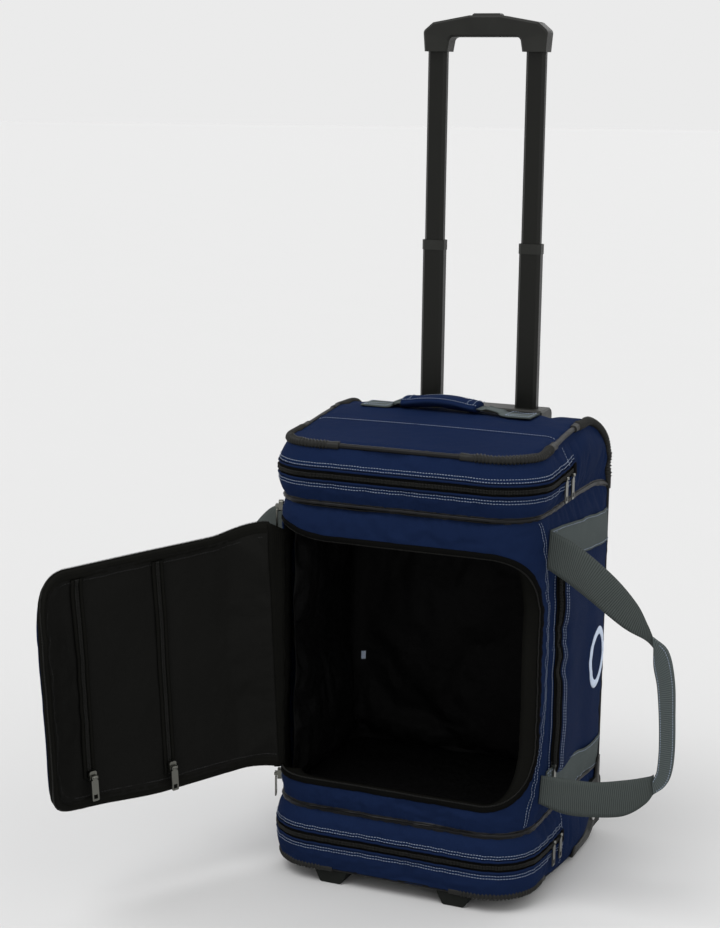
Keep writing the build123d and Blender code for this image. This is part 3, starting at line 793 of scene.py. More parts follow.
def u_shape(start, end, low_z, high_z, radius, step, rise=lambda u: 0.0):
    """A lying U as (u, z): out along the bottom, round, and back on top, with a rise there."""
    turn, middle_u = math.degrees(step / radius), end - radius

    def bend(first, last, middle_z):
        turns = arc(first, last, turn)
        return [(middle_u + radius * math.cos(t), middle_z + radius * math.sin(t)) for t in turns]

    spots = [(u, low_z) for u in spread(start, middle_u, step)][:-1]
    spots += bend(-90, 0, low_z + radius)
    spots += [(end, z) for z in spread(low_z + radius, high_z - radius, step)][1:-1]
    spots += bend(0, 90, high_z - radius)
    return spots + [(u, high_z + rise(u)) for u in spread(middle_u, start, step)][1:]


def opening_edge(grow=0.0, step=4.0):
    """The U of the front opening as (u, z), from the hinge and back to it."""
    return u_shape(
        -OPENING_U, OPENING_END + grow, OPENING_LOW - grow, OPENING_HIGH + grow, OPENING_ROUND + grow, step,
        lambda u: FLARE * (1 - smooth(-OPENING_U, FLARE_LENGTH - OPENING_U, u)),
    )


def outer_edge(spot):
    """The point of the front panel's border that lies straight out from a point of the opening."""
    u, z = spot
    bend = Vector((OPENING_END - OPENING_ROUND, 0))
    if u <= bend.x:
        return (u, LOWER_SEAM if z < OPENING_MIDDLE else UPPER_SEAM)
    inner_z = min(max(z, OPENING_LOW + OPENING_ROUND), OPENING_HIGH - OPENING_ROUND)
    way = Vector((u - bend.x, z - inner_z)).normalized()
    for distance in range(10, 401):
        at_u, at_z = bend.x + way.x * distance, inner_z + way.y * distance
        if at_z <= LOWER_SEAM or at_z >= UPPER_SEAM or at_u >= front_seam(at_z):
            break
    at_z = min(max(at_z, LOWER_SEAM), UPPER_SEAM)
    return (min(at_u, front_seam(at_z)), at_z)


def build_front():
    """The front panel: cloth from the opening's edge out to the seams, and a strip at the hinge."""
    shape = Shape()
    inner = opening_edge(2.0)
    outer = [outer_edge(spot) for spot in inner]
    shape.grid(
        shares(12), range(len(inner)),
        lambda t, i: lay(mix(inner[i][0], outer[i][0], t), mix(inner[i][1], outer[i][1], t)),
    )
    rows = spread(LOWER_SEAM, UPPER_SEAM, CLOTH_STEP)
    shape.grid(shares(10), rows, lambda t, z: lay(mix(-front_seam(z), -OPENING_U, t), z))
    shape.cut_from(lambda p: (p.x, p.z))
    panel("front_cloth", shape, "front_panel")


def half_width(y, inset=0.0):
    """Half the case's width at depth y, where the front corners are round."""
    if y > ARC_Y:
        return HALF_W - inset
    return ARC_X + math.sqrt(max((CORNER - inset) ** 2 - (y - ARC_Y) ** 2, 0.0))


def front_depths(inset=0.0):
    """Depths from the front edge back, close together where the corners turn."""
    return [ARC_Y - (CORNER - inset) * math.cos(t) for t in arc(0, 90, 6)]


CUSHION = 1.5
TOP_SEAM_Y = -30.0


def top_skin(x, y):
    """The height of the top's cloth at (x, y)."""
    s = x / half_width(y, rim_inset(y))
    rise = CUSHION * (1 - s * s) * smooth(-HALF_D, -70, y) * (1 - smooth(100, HALF_D, y))
    soft = 1.6 * wave(x, y * 1.3, 5.0, 60.0) + 0.5 * wave(x, y * 2.4, 6.0, 16.0)
    calm = smooth(1.0, 0.9, abs(s)) * smooth(-HALF_D, -HALF_D + 22, y)
    seam = pucker(y - TOP_SEAM_Y, x, 8.0)
    return top_edge(y) + rise + (soft + seam) * calm


def build_top():
    """The top's cloth, over the round back edge and down to the back panel, open under the bezel."""
    shape = Shape()
    depths = front_depths(RIM_INSET) + spread(ARC_Y, HALF_D - TOP_ROUND, CLOTH_STEP)[1:]
    depths += round_depths(TOP_ROUND, 5)
    bezel_low, bezel_high = low("handle_bezel") - CENTRE, high("handle_bezel") - CENTRE

    def spot(s, y):
        x = s * half_width(y, rim_inset(y))
        return Vector((x, y, top_skin(x, y)))

    shape.grid(halves(56), depths, spot)
    down_back = spread(top_edge(HALF_D), high("back_panel").z, CLOTH_STEP)
    shape.grid(halves(56), down_back, lambda s, z: Vector((s * HALF_W, HALF_D, z)))
    shape.cut_from(lambda p: (p.x, p.y - p.z))
    hidden = {
        i for i, p in enumerate(shape.points)
        if bezel_low.x < p.x < bezel_high.x and bezel_low.y < p.y < bezel_high.y - 1
    }
    shape.faces = [face for face in shape.faces if not hidden.issuperset(face)]
    panel("top_cloth", shape, "top_panel")


def build_back():
    shape = Shape()
    low_z, high_z = low("back_panel").z, high("back_panel").z

    def spot(x, z):
        loose = smooth(HALF_W, HALF_W - 30, abs(x))
        loose *= smooth(low_z, low_z + 40, z) * smooth(high_z, high_z - 40, z)
        return Vector((x, HALF_D - 0.5 + loose * (2.0 + 1.2 * wave(x, z, 9.0, 45.0)), z))

    shape.grid(spread(-HALF_W, HALF_W, CLOTH_STEP), spread(low_z, high_z, CLOTH_STEP), spot, True)
    shape.cut_from(lambda p: (p.x, p.z))
    panel("back_cloth", shape, "back_panel")


def build_bottom():
    shape = Shape()
    depths = front_depths() + spread(ARC_Y, HALF_D - LOW_ROUND, 8.0)[1:] + round_depths(LOW_ROUND, 7)
    housing_x = high("wheel_housing_left").x - CENTRE.x
    housing_y = low("wheel_housing_left").y - CENTRE.y

    def spot(s, y):
        width = mix(half_width(y), abs(housing_x), smooth(housing_y, housing_y + 4, y))
        return Vector((s * width, y, low_edge(y)))

    shape.grid(halves(24), depths, spot, True)
    shape.cut_from(lambda p: (p.x, p.y + p.z))
    piece("bottom_cloth", shape, TRIM, "case", ["bottom_panel"], CLOTH_THICK)


# ---------------------------------------------------------------- piping and guards
def rim_path():
    """The whole upper edge: from the right housing up, forward, round the front, and down on the left."""
    right = []
    for y in spread(ARC_Y, HALF_D - TOP_ROUND, 5.0) + round_depths(TOP_ROUND, 5):
        tilt = smooth(HALF_D - TOP_ROUND, HALF_D, y) * math.pi / 2
        right.append((lay(side_u(y), TOP), Vector((1, math.sin(tilt), math.cos(tilt))).normalized()))
    for z in spread(top_edge(HALF_D), high("wheel_housing_right").z + 2, 6.0)[1:]:
        right.append((Vector((HALF_W, HALF_D, z)), Vector((1, 1, 0)).normalized()))
    front = [(lay(u, TOP), (plan(u)[1] + UP).normalized()) for u in spread(ARC_U - 4, 4 - ARC_U, 4.0)]
    left = [(Vector((-p.x, p.y, p.z)), Vector((-n.x, n.y, n.z))) for p, n in right]
    return right[::-1] + front + left


RIM_TUCK = 3.0


def low_rim_path():
    """The lower edge, from one wheel housing round the front to the other."""
    end = side_u(low("wheel_housing_right").y - CENTRE.y - 2)
    return [(lay(u, BASE, -RIM_TUCK), (plan(u)[1] * 0.3 - UP).normalized()) for u in spread(-end, end, 5.0)]


RIM_BEAD, LOW_BEAD, SEAM_BEAD = 3.0, 2.8, 2.5


def build_piping():
    shape = Shape()
    shape.sweep(rim_path(), circle(RIM_BEAD))
    shape.sweep(low_rim_path(), circle(LOW_BEAD))
    piece("edge_beads", shape, PIPING, "case", ["edge_piping"])
    seams = Shape()
    for z in (LOWER_SEAM, UPPER_SEAM):
        spots = [(u, z) for u in spread(-BACK_U + 2, BACK_U - 2, 4.0)]
        seams.sweep(shell_path(spots, 1.0), circle(SEAM_BEAD))
        seams.sweep(shell_path(spots, 0.2), flat(8.0, 0.8))
    piece("seam_beads", seams, PIPING, "case", ["seam_piping"])


GUARD_BEAD = 4.6
CUFF = 15.0
RIB_PITCH, RIB_DEPTH = 4.2, 0.17


def ribbed(length):
    """A guard's thickness along its length: plain cuffs at both ends and ribs between them."""

    def size(at):
        if at < CUFF or at > length - CUFF:
            return 0.95
        return 1.0 + RIB_DEPTH * math.cos(2 * math.pi * (at - CUFF) / RIB_PITCH)

    return size


GUARD_ENDS = {"upper front": (70, -48), "upper back": (100, 18), "lower front": (72, -55)}  # x and y


def build_guards():
    """The ribbed rubber guards on the upper and lower corners' piping."""
    shape = Shape()
    step = RIB_PITCH / 5

    def guard(path):
        points = [(p, n) for p, _, n in stepped(path, step)]
        shape.sweep(points, circle(GUARD_BEAD, 12), ribbed((len(points) - 1) * step))

    def past(path, sign, corner, back=False):
        x, y = GUARD_ENDS[corner]
        return [(p, n) for p, n in path if p.x * sign > x and (p.y > y if back else p.y < y)]

    for sign in (1, -1):
        guard(past(rim_path(), sign, "upper front"))
        guard([(p, n) for p, n in past(rim_path(), sign, "upper back", True) if p.z > LEVEL_HIGH - 2])
        guard(past(low_rim_path(), sign, "lower front"))
    piece("ribbed_guards", shape, GUARD, "case", ["corner_guards"])


def build_kick_guards():
    """Smooth plastic angles on the two lower back corners, from under the base up past the housings."""
    wraps = [
        (-3.6, 2.2), (-3.0, 2.8), (26, 2.8), (26, 0.6),
        (-0.9, 0.6), (-0.9, -11.4), (-1.6, -12), (-3.6, -11.6),
    ]
    front_end, top_end = 42, high("wheel_housing_right").z + 26
    shape = Shape()
    for sign in (1, -1):
        def corner(y, z, turn):
            """A point of the side's edge, and the way out from it, turned from down to back."""
            return Vector((sign * HALF_W, y, z)), Vector((0, math.sin(turn), -math.cos(turn)))

        path = [corner(y, low_edge(y), 0) for y in spread(front_end, HALF_D - LOW_ROUND, 5.0)]
        path += [corner(y, low_edge(y), t) for y, t in zip(round_depths(LOW_ROUND, 5), arc(0, 90, 5)[1:])]
        path += [corner(HALF_D, z, math.pi / 2) for z in spread(low_edge(HALF_D), top_end, 6.0)[1:]]
        shape.sweep(path, [(sign * a, b) for a, b in wraps][::sign])
    piece("kick_guards", shape, GUARD, "case")


# ---------------------------------------------------------------- zips and stitching
COIL_PITCH = 1.7


def coil(shape, path, sideways=0.0, out=0.0, half=(1.5, 0.62, 1.0)):
    """One row of a zip's coil: small bars across the path."""
    for point, tangent, normal in stepped(beside(path, sideways, out), COIL_PITCH):
        shape.bead(point, tangent.cross(normal), normal, half)


def closed_coil(shape, path, out):
    """Both rows of a closed zip's coil."""
    coil(shape, path, -1.1, out)
    coil(shape, path, 1.1, out)


STITCH_SHARE, STITCH_HALF = 0.36, (0.42, 0.32)  # half a stitch's length by its pitch; width and height


def stitched(shape, path, sideways=0.0, out=0.5, pitch=3.3):
    """A row of stitches beside a path."""
    for point, tangent, normal in stepped(beside(path, sideways, out), pitch):
        shape.bead(point, tangent, normal, (pitch * STITCH_SHARE, *STITCH_HALF))


def build_end_zips():
    """The zips of both end pockets, and the pale rows of stitches along them and the front's seams."""
    pale = Shape()
    end_u = side_u(ZIP_END_Y)
    for word, z in (("lower", LOWER_ZIP), ("upper", UPPER_ZIP)):
        path = shell_path([(u, z) for u in spread(-end_u, end_u, 4.0)], -0.8)
        tape, teeth = Shape(), Shape()
        tape.sweep(path, flat(2 * ZIP_HALF + 3, 0.9))
        tape.sweep(beside(path, 0, 0.9), flat(5.2, 1.2))
        closed_coil(teeth, path, 2.1)
        stops = beside(path, 0, 0.6)
        for ends in (stops[:3], stops[-3:]):
            tape.sweep(ends, flat(2 * ZIP_HALF + 1, 3.0))
        piece(f"{word}_zip_tape", tape, TAPE, "case", [f"{word}_zip"])
        piece(f"{word}_zip_coil", teeth, COIL, "case")
        for gap in (3.0, 6.2):
            for side in (-1, 1):
                rows = [(u, z + side * (ZIP_HALF + gap)) for u in spread(-end_u, end_u, 4.0)]
                stitched(pale, shell_path(rows))
    seams = (
        (ZIP_END_Y, BASE + 4, LOWER_ZIP - ZIP_HALF), (ZIP_END_Y, LOWER_ZIP + ZIP_HALF, LOWER_SEAM - 4),
        (TOP_SEAM_Y, UPPER_ZIP + ZIP_HALF, TOP - 6),
    )
    heights = spread(LOWER_SEAM + 6, UPPER_SEAM - 6, 4.0)
    for sign in (1, -1):
        for y, z_low, z_high in seams:
            stitched(pale, shell_path([(sign * side_u(y), z) for z in spread(z_low, z_high, 3.0)]))
        for gap in (3.5, 8.5):
            stitched(pale, shell_path([(sign * (front_seam(z) - gap + 2.0), z) for z in heights]))
    wide = HALF_W - RIM_INSET - 5
    across = []
    for x in spread(-wide, wide, 5.0):
        z = top_edge(TOP_SEAM_Y) + CUSHION * (1 - (x / HALF_W) ** 2)
        across.append((Vector((x, TOP_SEAM_Y, z)), UP))
    stitched(pale, across, 0, 0.4)
    piece("pale_stitching", pale, THREAD, "case")


def build_side_zip():
    path = shell_path([(side_u(SIDE_ZIP_Y), z) for z in spread(SIDE_ZIP_LOW, SIDE_ZIP_HIGH, 4.0)], -0.2)
    tape, teeth, pale = Shape(), Shape(), Shape()
    tape.sweep(path, flat(12.0, 0.9))
    closed_coil(teeth, path, 1.3)
    for side in (-8.2, -10.8, 8.2, 10.8):
        stitched(pale, path, side, 1.0)
    piece("side_zip_tape", tape, TAPE, "case", ["side_zip"])
    piece("side_zip_coil", teeth, COIL, "case")
    piece("side_zip_stitching", pale, THREAD, "case")


def build_opening_trim():
    """Tape and teeth round the front opening, and the facing turned in behind its edge."""
    edge = opening_edge(2.0, 3.0)
    path = shell_path(edge, -0.6)
    tape, teeth, turned = Shape(), Shape(), Shape()
    tape.sweep(path, flat(6.0, 1.8))
    tape.sweep(shell_path(opening_edge(0.0, 3.0), -1.6), flat(5.0, 1.2))
    inner = shell_path(opening_edge(-1.2, 3.0), -0.8)
    coil(teeth, inner, 0.0, 0.6, (1.7, 0.6, 0.9))
    depths = [0.0, 4.0, 9.0, 15.0, 22.0]
    upright = 90  # this far up and down from the opening's middle its edge stands upright

    def turned_in(a, index):
        u, z = edge[index]
        lean = 6.0 * math.sin(a / depths[-1] * math.pi / 2) + wave(index, a, 12.0, 9.0) * a / depths[-1]
        way = (z > OPENING_MIDDLE + upright) - (z < OPENING_MIDDLE - upright)
        return lay(u, z) - plan(u)[1] * (a + 1.5) + UP * (way * lean * 0.5)

    turned.grid(depths, range(len(edge)), turned_in)
    turned.cloth = [(along * 3.0, across, 0) for across, along, _ in turned.cloth]
    piece("opening_tape", tape, TAPE, "case", ["main_zip"])
    piece("opening_teeth", teeth, COIL, "case")
    piece("opening_facing", turned, TRIM, "case", thickness=1.0)
    corners = Shape()
    rows = spread(LOWER_SEAM + 3, UPPER_SEAM - 3, 6.0)
    end = side_u(SIDE_ZIP_Y - 12)
    for columns in (spread(-end, 0.5 - OPENING_U, 4.0), spread(OPENING_END - 0.5, end, 4.0)):
        corners.grid(columns, rows, lambda u, z: lay(u, z, -3.5 + 0.8 * wave(u, z, 13.0, 25.0)), True)
    piece("corner_facing", corners, TRIM, "case", thickness=0.8)


# ---------------------------------------------------------------- inside
LINING_GAP = 7.0
LINING_START = front_seam(270) - 12


def build_lining():
    """The compartment's walls, back, floor and roof in thin loose lining."""
    walls = Shape()
    back_y = low("back_lining").y - CENTRE.y
    inner, radius = HALF_W - LINING_GAP, 24.0
    back_half, bend = inner - radius, radius * math.pi / 2
    side_run = back_y - radius - plan(LINING_START)[0].y

    def around(a):
        """The lining's plan: left wall, back and right wall, with round back corners."""
        past, sign = abs(a) - back_half, 1 if a >= 0 else -1
        if past < 0:
            return Vector((a, back_y, 0)), Vector((0, -1, 0))
        if past < bend:
            turn = past / radius
            x, y = back_half + radius * math.sin(turn), back_y - radius + radius * math.cos(turn)
            return Vector((sign * x, y, 0)), Vector((-sign * math.sin(turn), -math.cos(turn), 0))
        run = min(past - bend, side_run)
        return Vector((sign * inner, back_y - radius - run, 0)), Vector((-sign, 0, 0))

    total = back_half + bend + side_run

    def wall(a, z):
        point, normal = around(a)
        calm = smooth(LOWER_SEAM, LOWER_SEAM + 40, z) * smooth(UPPER_SEAM, UPPER_SEAM - 40, z)
        soft = 4.0 * wave(a, z * 0.6, 21.0, 55.0) + 2.0 * wave(a * 1.2, z * 0.5, 22.0, 20.0)
        return point + normal * (1.5 + (soft + 3.0) * calm) + Vector((0, 0, z))

    walls.grid(spread(-total, total, 5.0), spread(LOWER_SEAM + 2, UPPER_SEAM - 2, 5.0), wall)
    sheet = piece("compartment_lining", walls, LINING, "case", ["back_lining"], 0.8)
    relax(sheet, slack=0.05, pressure=0.0, cap=7.0)
    ends = Shape()
    depths = front_depths()[1:] + spread(ARC_Y, back_y + 2, 6.0)[1:]
    for z, seed in ((LOWER_SEAM + 2.0, 31.0), (UPPER_SEAM - 2.0, 32.0)):
        def floor(s, y):
            calm = 1 - s ** 6
            return Vector((s * (half_width(y) - 5), y, z + 1.5 * calm * wave(s * 150, y, seed, 35.0)))

        ends.grid(halves(30), depths, floor)
    ends.cut_from(lambda p: (p.x, p.y))
    piece("floor_and_roof_lining", ends, LINING, "case", ["compartment_dividers"], 1.2)
    tag = Shape()
    tag_a, tag_z = -(back_half + 9.0), mix(LOWER_SEAM, UPPER_SEAM, 0.32)
    tag.grid(spread(tag_a - 4, tag_a + 4, 2.0), spread(tag_z - 5, tag_z + 5, 2.0),
             lambda a, z: wall(a, z) + around(a)[1] * 2.5)
    piece("inner_tag", tag, BADGE, "case", thickness=0.6)


# ---------------------------------------------------------------- webbing
def curve(points, count):
    """A smooth curve through the points, as count + 1 even steps of its parameter."""
    ends = [2 * points[0] - points[1]] + points + [2 * points[-1] - points[-2]]
    result = []
    for step in range(count + 1):
        at = step / count * (len(points) - 1)
        k = min(int(at), len(points) - 2)
        t = at - k
        a, b, c, d = ends[k:k + 4]
        result.append(0.5 * (2 * b + (c - a) * t + (2 * a - 5 * b + 4 * c - d) * t * t
                             + (3 * b - a - 3 * c + d) * t ** 3))
    return result


def ribbon(shape, first_edge, second_edge, count, curl=0.0):
    """Webbing between two edge curves, with its cloth place measured along and across it."""
    a_points, b_points = curve(first_edge, count), curve(second_edge, count)
    start = len(shape.points)
    across = 8
    travelled = 0.0
    for j, (a, b) in enumerate(zip(a_points, b_points)):
        if j:
            travelled += ((a + b) / 2 - (a_points[j - 1] + b_points[j - 1]) / 2).length
        for i in range(across + 1):
            s = i / across
            bowed = curl * math.sin(math.pi * s) * math.sin(math.pi * j / count)
            shape.vertex(a.lerp(b, s) + Vector((0, bowed, 0)), (s * (a - b).length, travelled))
    for j in range(count):
        for i in range(across):
            at = start + j * (across + 1) + i
            shape.faces.append((at, at + 1, at + across + 2, at + across + 1))


CARRY_Y = middle("carry_handle_right", Y)
CARRY_END = high("carry_handle_right").x - CENTRE.x
CARRY_TOP, CARRY_LOW = high("carry_handle_right").z, low("carry_handle_right").z
STRAP = 40.0
LEFT_PIVOT = Vector(joint("carry_left_swing")["pos_m"]) / MM - CENTRE
LEFT_BACK = 40.0  # degrees that the left loop is turned back
ARM_STEPS, GRIP_STEPS = 60, 90


def build_carry(word, sign):
    """A loop of webbing: two flat arms and, between them, a grip folded double and stitched."""
    turn = Matrix.Identity(4)
    if sign < 0:
        turn = (Matrix.Translation(LEFT_PIVOT) @ Matrix.Rotation(-math.radians(LEFT_BACK), 4, "Z")
                @ Matrix.Translation(-LEFT_PIVOT) @ Matrix.Scale(-1, 4, (1, 0, 0)))
    root, end, body = HALF_W + 3.5, CARRY_END, f"carry_{word}"

    def edge(x, z, *offsets):
        """Points of an edge, each (across, up, back) from (x, z) on the loop's own plane."""
        return [turn @ Vector((x + dx, CARRY_Y + dy, z + dz)) for dx, dz, dy in offsets]

    arms, grip, pale = Shape(), Shape(), Shape()
    upper_out = edge(root, CARRY_TOP, (0, 3, 6), (34, -10, 1), (76, -39, -1), (103, -67, 0))
    upper_out += edge(end, CARRY_TOP, (-37, -88, 1), (-29, -105, 2))
    upper_in = edge(root, CARRY_TOP, (-1, -STRAP, 2), (24, -STRAP - 12, -2), (51, -69, -3), (89, -95, -2))
    upper_in += edge(end, CARRY_TOP, (-38, -107, 1), (-28, -116, 2))
    lower_out = edge(root, CARRY_LOW, (-1, 6, -2), (30, -1, -3), (62, 1, -4), (98, 8, -3))
    lower_out += edge(end, CARRY_LOW, (-31, 24, 0), (-20, 40, 1))
    lower_in = edge(root, CARRY_LOW, (0, STRAP - 2, 2), (30, STRAP, -1), (64, 42, -3), (100, 50, -2))
    lower_in += edge(end, CARRY_LOW, (-28, 57, 0), (-22, 60, 1))
    ribbon(arms, upper_out, upper_in, ARM_STEPS, -2.0)
    ribbon(arms, lower_in, lower_out, ARM_STEPS, -2.0)
    grip_out = edge(end, CARRY_TOP, (-29.5, -103, 0), (-12, -117, 0), (-3.5, -150, 0))
    grip_out += edge(end, 0, (-1, 245, 0), (0, 210, 0))
    grip_out += edge(end, CARRY_LOW, (-2, 66, 0), (-8, 50, 0), (-21, 38, 0))
    grip_in = edge(end, CARRY_TOP, (-28, -115, 0), (-27, -135, 0), (-22, -158, 0))
    grip_in += edge(end, 0, (-18.5, 245, 0), (-17, 210, 0))
    grip_in += edge(end, CARRY_LOW, (-18, 68, 0), (-20, 60, 0), (-23, 52, 0))
    ribbon(grip, grip_out, grip_in, GRIP_STEPS)
    front = turn.to_3x3() @ Vector((0, -1, 0))
    pairs = list(zip(curve(grip_in, GRIP_STEPS), curve(grip_out, GRIP_STEPS)))
    for share in (0.1, 0.9):
        stitched(pale, [(a.lerp(b, share), front) for a, b in pairs[6:-4]], 0.0, 3.2, 3.0)
    strap = piece(f"carry_webbing_{word}", arms, WEBBING, body, [f"carry_handle_{word}"], 2.2)
    doubled = piece(f"carry_grip_{word}", grip, PATCH, body, thickness=5.6)
    for item in (strap, doubled):
        item.modifiers["thickness"].offset = 0.0
    round_off = doubled.modifiers.new("rounding", "BEVEL")
    round_off.width, round_off.segments = 1.6 * MM, 3
    piece(f"carry_stitching_{word}", pale, THREAD, body)


def side_patch_path(sign, z_front, z_back):
    """A strap on a side, sewn flat from the loop's root back to the case's back edge."""
    front_y, back_y = CARRY_Y + 12, HALF_D - 4
    spots = [
        (sign * side_u(mix(front_y, back_y, t)), mix(z_front, z_back, smooth(-0.1, 1.1, t)))
        for t in spread(0, 1, 0.03)
    ]
    return shell_path(spots, 0.3)


def build_patches():
    """The straps sewn on both sides, which the carry loops come out of."""
    shape, pale = Shape(), Shape()
    upper_z, lower_z = CARRY_TOP - STRAP / 2, CARRY_LOW + STRAP / 2
    across = spread(-STRAP / 2 + 2, STRAP / 2 - 2, 4)
    for sign in (1, -1):
        for z_front, z_back in ((upper_z + 2, upper_z - 17), (lower_z, lower_z - 26)):
            path = side_patch_path(sign, z_front, z_back)
            shape.sweep(path, flat(STRAP, 1.5))
            for side in (-1, 1):
                stitched(pale, path, side * (STRAP / 2 - 2.5), 1.7)
            for point, normal in path[1:3]:
                stitched(pale, [(point + UP * dz, normal) for dz in across], 0, 1.8)
    shape.cut_from(lambda p: (p.z, p.y))
    piece("side_webbing", shape, PATCH, "case", ["webbing_patches"])
    piece("side_webbing_stitching", pale, THREAD, "case")


def build_grab_handle():
    """The top handle: webbing sewn down at both ends, and a padded sleeve with a stitched edge."""
    left, right = low("grab_handle_webbing").x - CENTRE.x, high("grab_handle_webbing").x - CENTRE.x
    y = middle("grab_handle_webbing", Y)
    sleeve_left, sleeve_right = [end("grab_handle_sleeve").x - CENTRE.x for end in (low, high)]
    wide = high("grab_handle_webbing").y - low("grab_handle_webbing").y
    under = [(x, y + dy) for x in (left + 4, left + 30, right - 30, right - 4) for dy in (-15, 0, 15)]
    ground = max(top_skin(*spot) for spot in under) - 0.4
    rise = high("grab_handle_webbing").z - ground + 2
    sewn = 38.0
    strap, sleeve, pale = Shape(), Shape(), Shape()
    arch = [
        (left, 0), (left + sewn - 4, 0), (left + sewn + 4, 4), (sleeve_left, rise - 3),
        ((sleeve_left + sleeve_right) / 2, rise + 1),
        (sleeve_right, rise - 3), (right - sewn - 6, 4), (right - sewn + 3, 0), (right, 0),
    ]
    path = [(p, UP) for p in curve([Vector((x, y, ground + z)) for x, z in arch], 96)]

    def narrow(length):
        total = right - left
        near = min(length, total + 18 - length)
        return mix(1.0, 0.72, smooth(sewn - 6, sewn + 20, near))

    strap.sweep(path, flat(wide - 4, 1.9), narrow)
    inside = [(p, n) for p, n in path if sleeve_left + 1 < p.x < sleeve_right - 1]

    def padded(length):
        share = length / (sleeve_right - sleeve_left)
        return 1.0 + 0.06 * math.sin(math.pi * min(share, 1.0))

    roll = [(math.cos(t) * 19.0, 1.0 + math.sin(t) * 6.8) for t in (2 * math.pi * k / 18 for k in range(18))]
    roll = [(a * (1 - 0.1 * abs(b) / 8), b) for a, b in roll]
    sleeve.sweep(inside, roll, padded)
    for side in (-15.5, 15.5):
        stitched(pale, inside, side, 5.6, 3.2)
    for end in (inside[1], inside[3], inside[-4], inside[-2]):
        ring = [(end[0] + Vector((0, dy, 7.4 - abs(dy) ** 2 / 95.0)), UP) for dy in spread(-15, 15, 3)]
        stitched(pale, ring, 0, 0.8, 3.0)
    box = [(0, -15), (sewn - 9, -15), (sewn - 9, 15), (0, 15), (0, -15), (sewn - 9, 15)]
    for start in (left + 3, right - sewn + 6):
        corners = [Vector((start + dx, y + dy, ground)) for dx, dy in box]
        for a, b in zip(corners, corners[1:]):
            stitched(pale, [(a.lerp(b, t), UP) for t in shares(5)], 0, 2.3, 3.0)
    piece("grab_strap", strap, PATCH, "case", ["grab_handle_webbing"])
    cover = piece("grab_sleeve_cloth", sleeve, NAVY, "case", ["grab_handle_sleeve"])
    ring = len(roll)
    every = list(range(len(sleeve.points)))
    relax(cover, every[:2 * ring] + every[-2 * ring:], 0.01, 4.0, 1.5)
    piece("grab_stitching", pale, THREAD, "case")


BADGE_Y, BADGE_Z = 101.0, 243.0
BADGE_INNER, BADGE_OUTER = 28.12, 38.0


def build_badge():
    """A plain embroidered ring on the right side, where the real case has its sewn mark."""
    shape = Shape()

    def spot(share, t):
        size = mix(BADGE_INNER, BADGE_OUTER, share)
        out = 0.5 + 0.7 * math.sin(math.pi * share)
        return lay(side_u(BADGE_Y + size * math.cos(t)), BADGE_Z + size * math.sin(t), out)

    shape.grid(shares(6), arc(0, 360, 5), spot)
    shape.cut_from(lambda p: (p.y, p.z))
    piece("side_badge", shape, BADGE, "case", thickness=0.5)


# ---------------------------------------------------------------- the lid
LID_LENGTH = OPENING_U + OPENING_END
HINGE = joint("lid_hinge")
HINGE_POINT = Vector(HINGE["pos_m"]) / MM - CENTRE
HINGE_LINE = Vector(HINGE["axis"])
LID_TURN = (
    Matrix.Translation(HINGE_POINT)
    @ Matrix.Rotation(-math.radians(HINGE["range_deg"][1]), 4, HINGE_LINE)
    @ Matrix.Translation(-HINGE_POINT)
)
LID_LOW, LID_HIGH = OPENING_LOW - 0.5, OPENING_HIGH + 1.0
LID_MIDDLE = (LID_LOW + LID_HIGH) / 2
LID_ROUND = 78.0
LID_RISE = 12.0  # how far the upper edge rises at the hinge
LID_NARROWING = 9.0  # how far the lower edge rises towards the free end


def lid_spot(s, z, depth=0.0):
    """A point of the open lid: s from the hinge, nominal height z, and depth in from its outer face."""
    point, normal = plan(s - OPENING_U)
    soft = 1.2 * wave(s, z, 41.0, 70.0) + 0.9 * wave(s * 0.3, z, 42.0, 40.0)
    lift = LID_RISE * smooth(LID_MIDDLE, LID_HIGH, z) * (1 - smooth(0, FLARE_LENGTH, s))
    lift += LID_NARROWING * smooth(LID_MIDDLE, LID_LOW, z) * smooth(150, LID_LENGTH - 70, s)
    closed = point - normal * (depth - soft) + Vector((0, 0, z + lift))
    return LID_TURN @ closed


def lid_path(spots, depth):
    """(point, normal) pairs on the lid's inner side."""
    turn = LID_TURN.to_3x3()
    return [(lid_spot(s, z, depth), -(turn @ plan(s - OPENING_U)[1])) for s, z in spots]


def lid_end(z, inset):
    """How far from the hinge the lid reaches at height z, with its free corners round."""
    reach, radius = LID_LENGTH - inset, max(LID_ROUND - inset, 4.0)
    low_z, high_z = LID_LOW + inset, LID_HIGH - inset
    into = max(low_z + radius - z, z - (high_z - radius), 0.0)
    return reach - radius + math.sqrt(max(radius ** 2 - min(into, radius) ** 2, 0.0))


def lid_rows(inset):
    """Heights across the lid, close together where its corners turn."""
    radius = LID_ROUND - inset
    rises = [radius * (1 - math.cos(t)) for t in arc(0, 90, 9)]
    low_z, high_z = LID_LOW + inset, LID_HIGH - inset
    straight = spread(low_z + radius, high_z - radius, 5.0)[1:-1]
    return [low_z + rise for rise in rises] + straight + [high_z - rise for rise in reversed(rises)]


def lid_outline(inset, step=3.0):
    """The lid's U-shaped edge as (s, z), from the hinge and back to it."""
    return u_shape(1.0, LID_LENGTH - inset, LID_LOW + inset, LID_HIGH - inset, LID_ROUND - inset, step)


def pocket_zip_place(word):
    """Where a lid pocket's slider sits on the closed lid, as (s, z)."""
    node = f"pocket_slider_{word}"
    closed = LID_TURN.inverted() @ ((low(node) + high(node)) / 2 - CENTRE)
    return closed.x + OPENING_U, closed.z


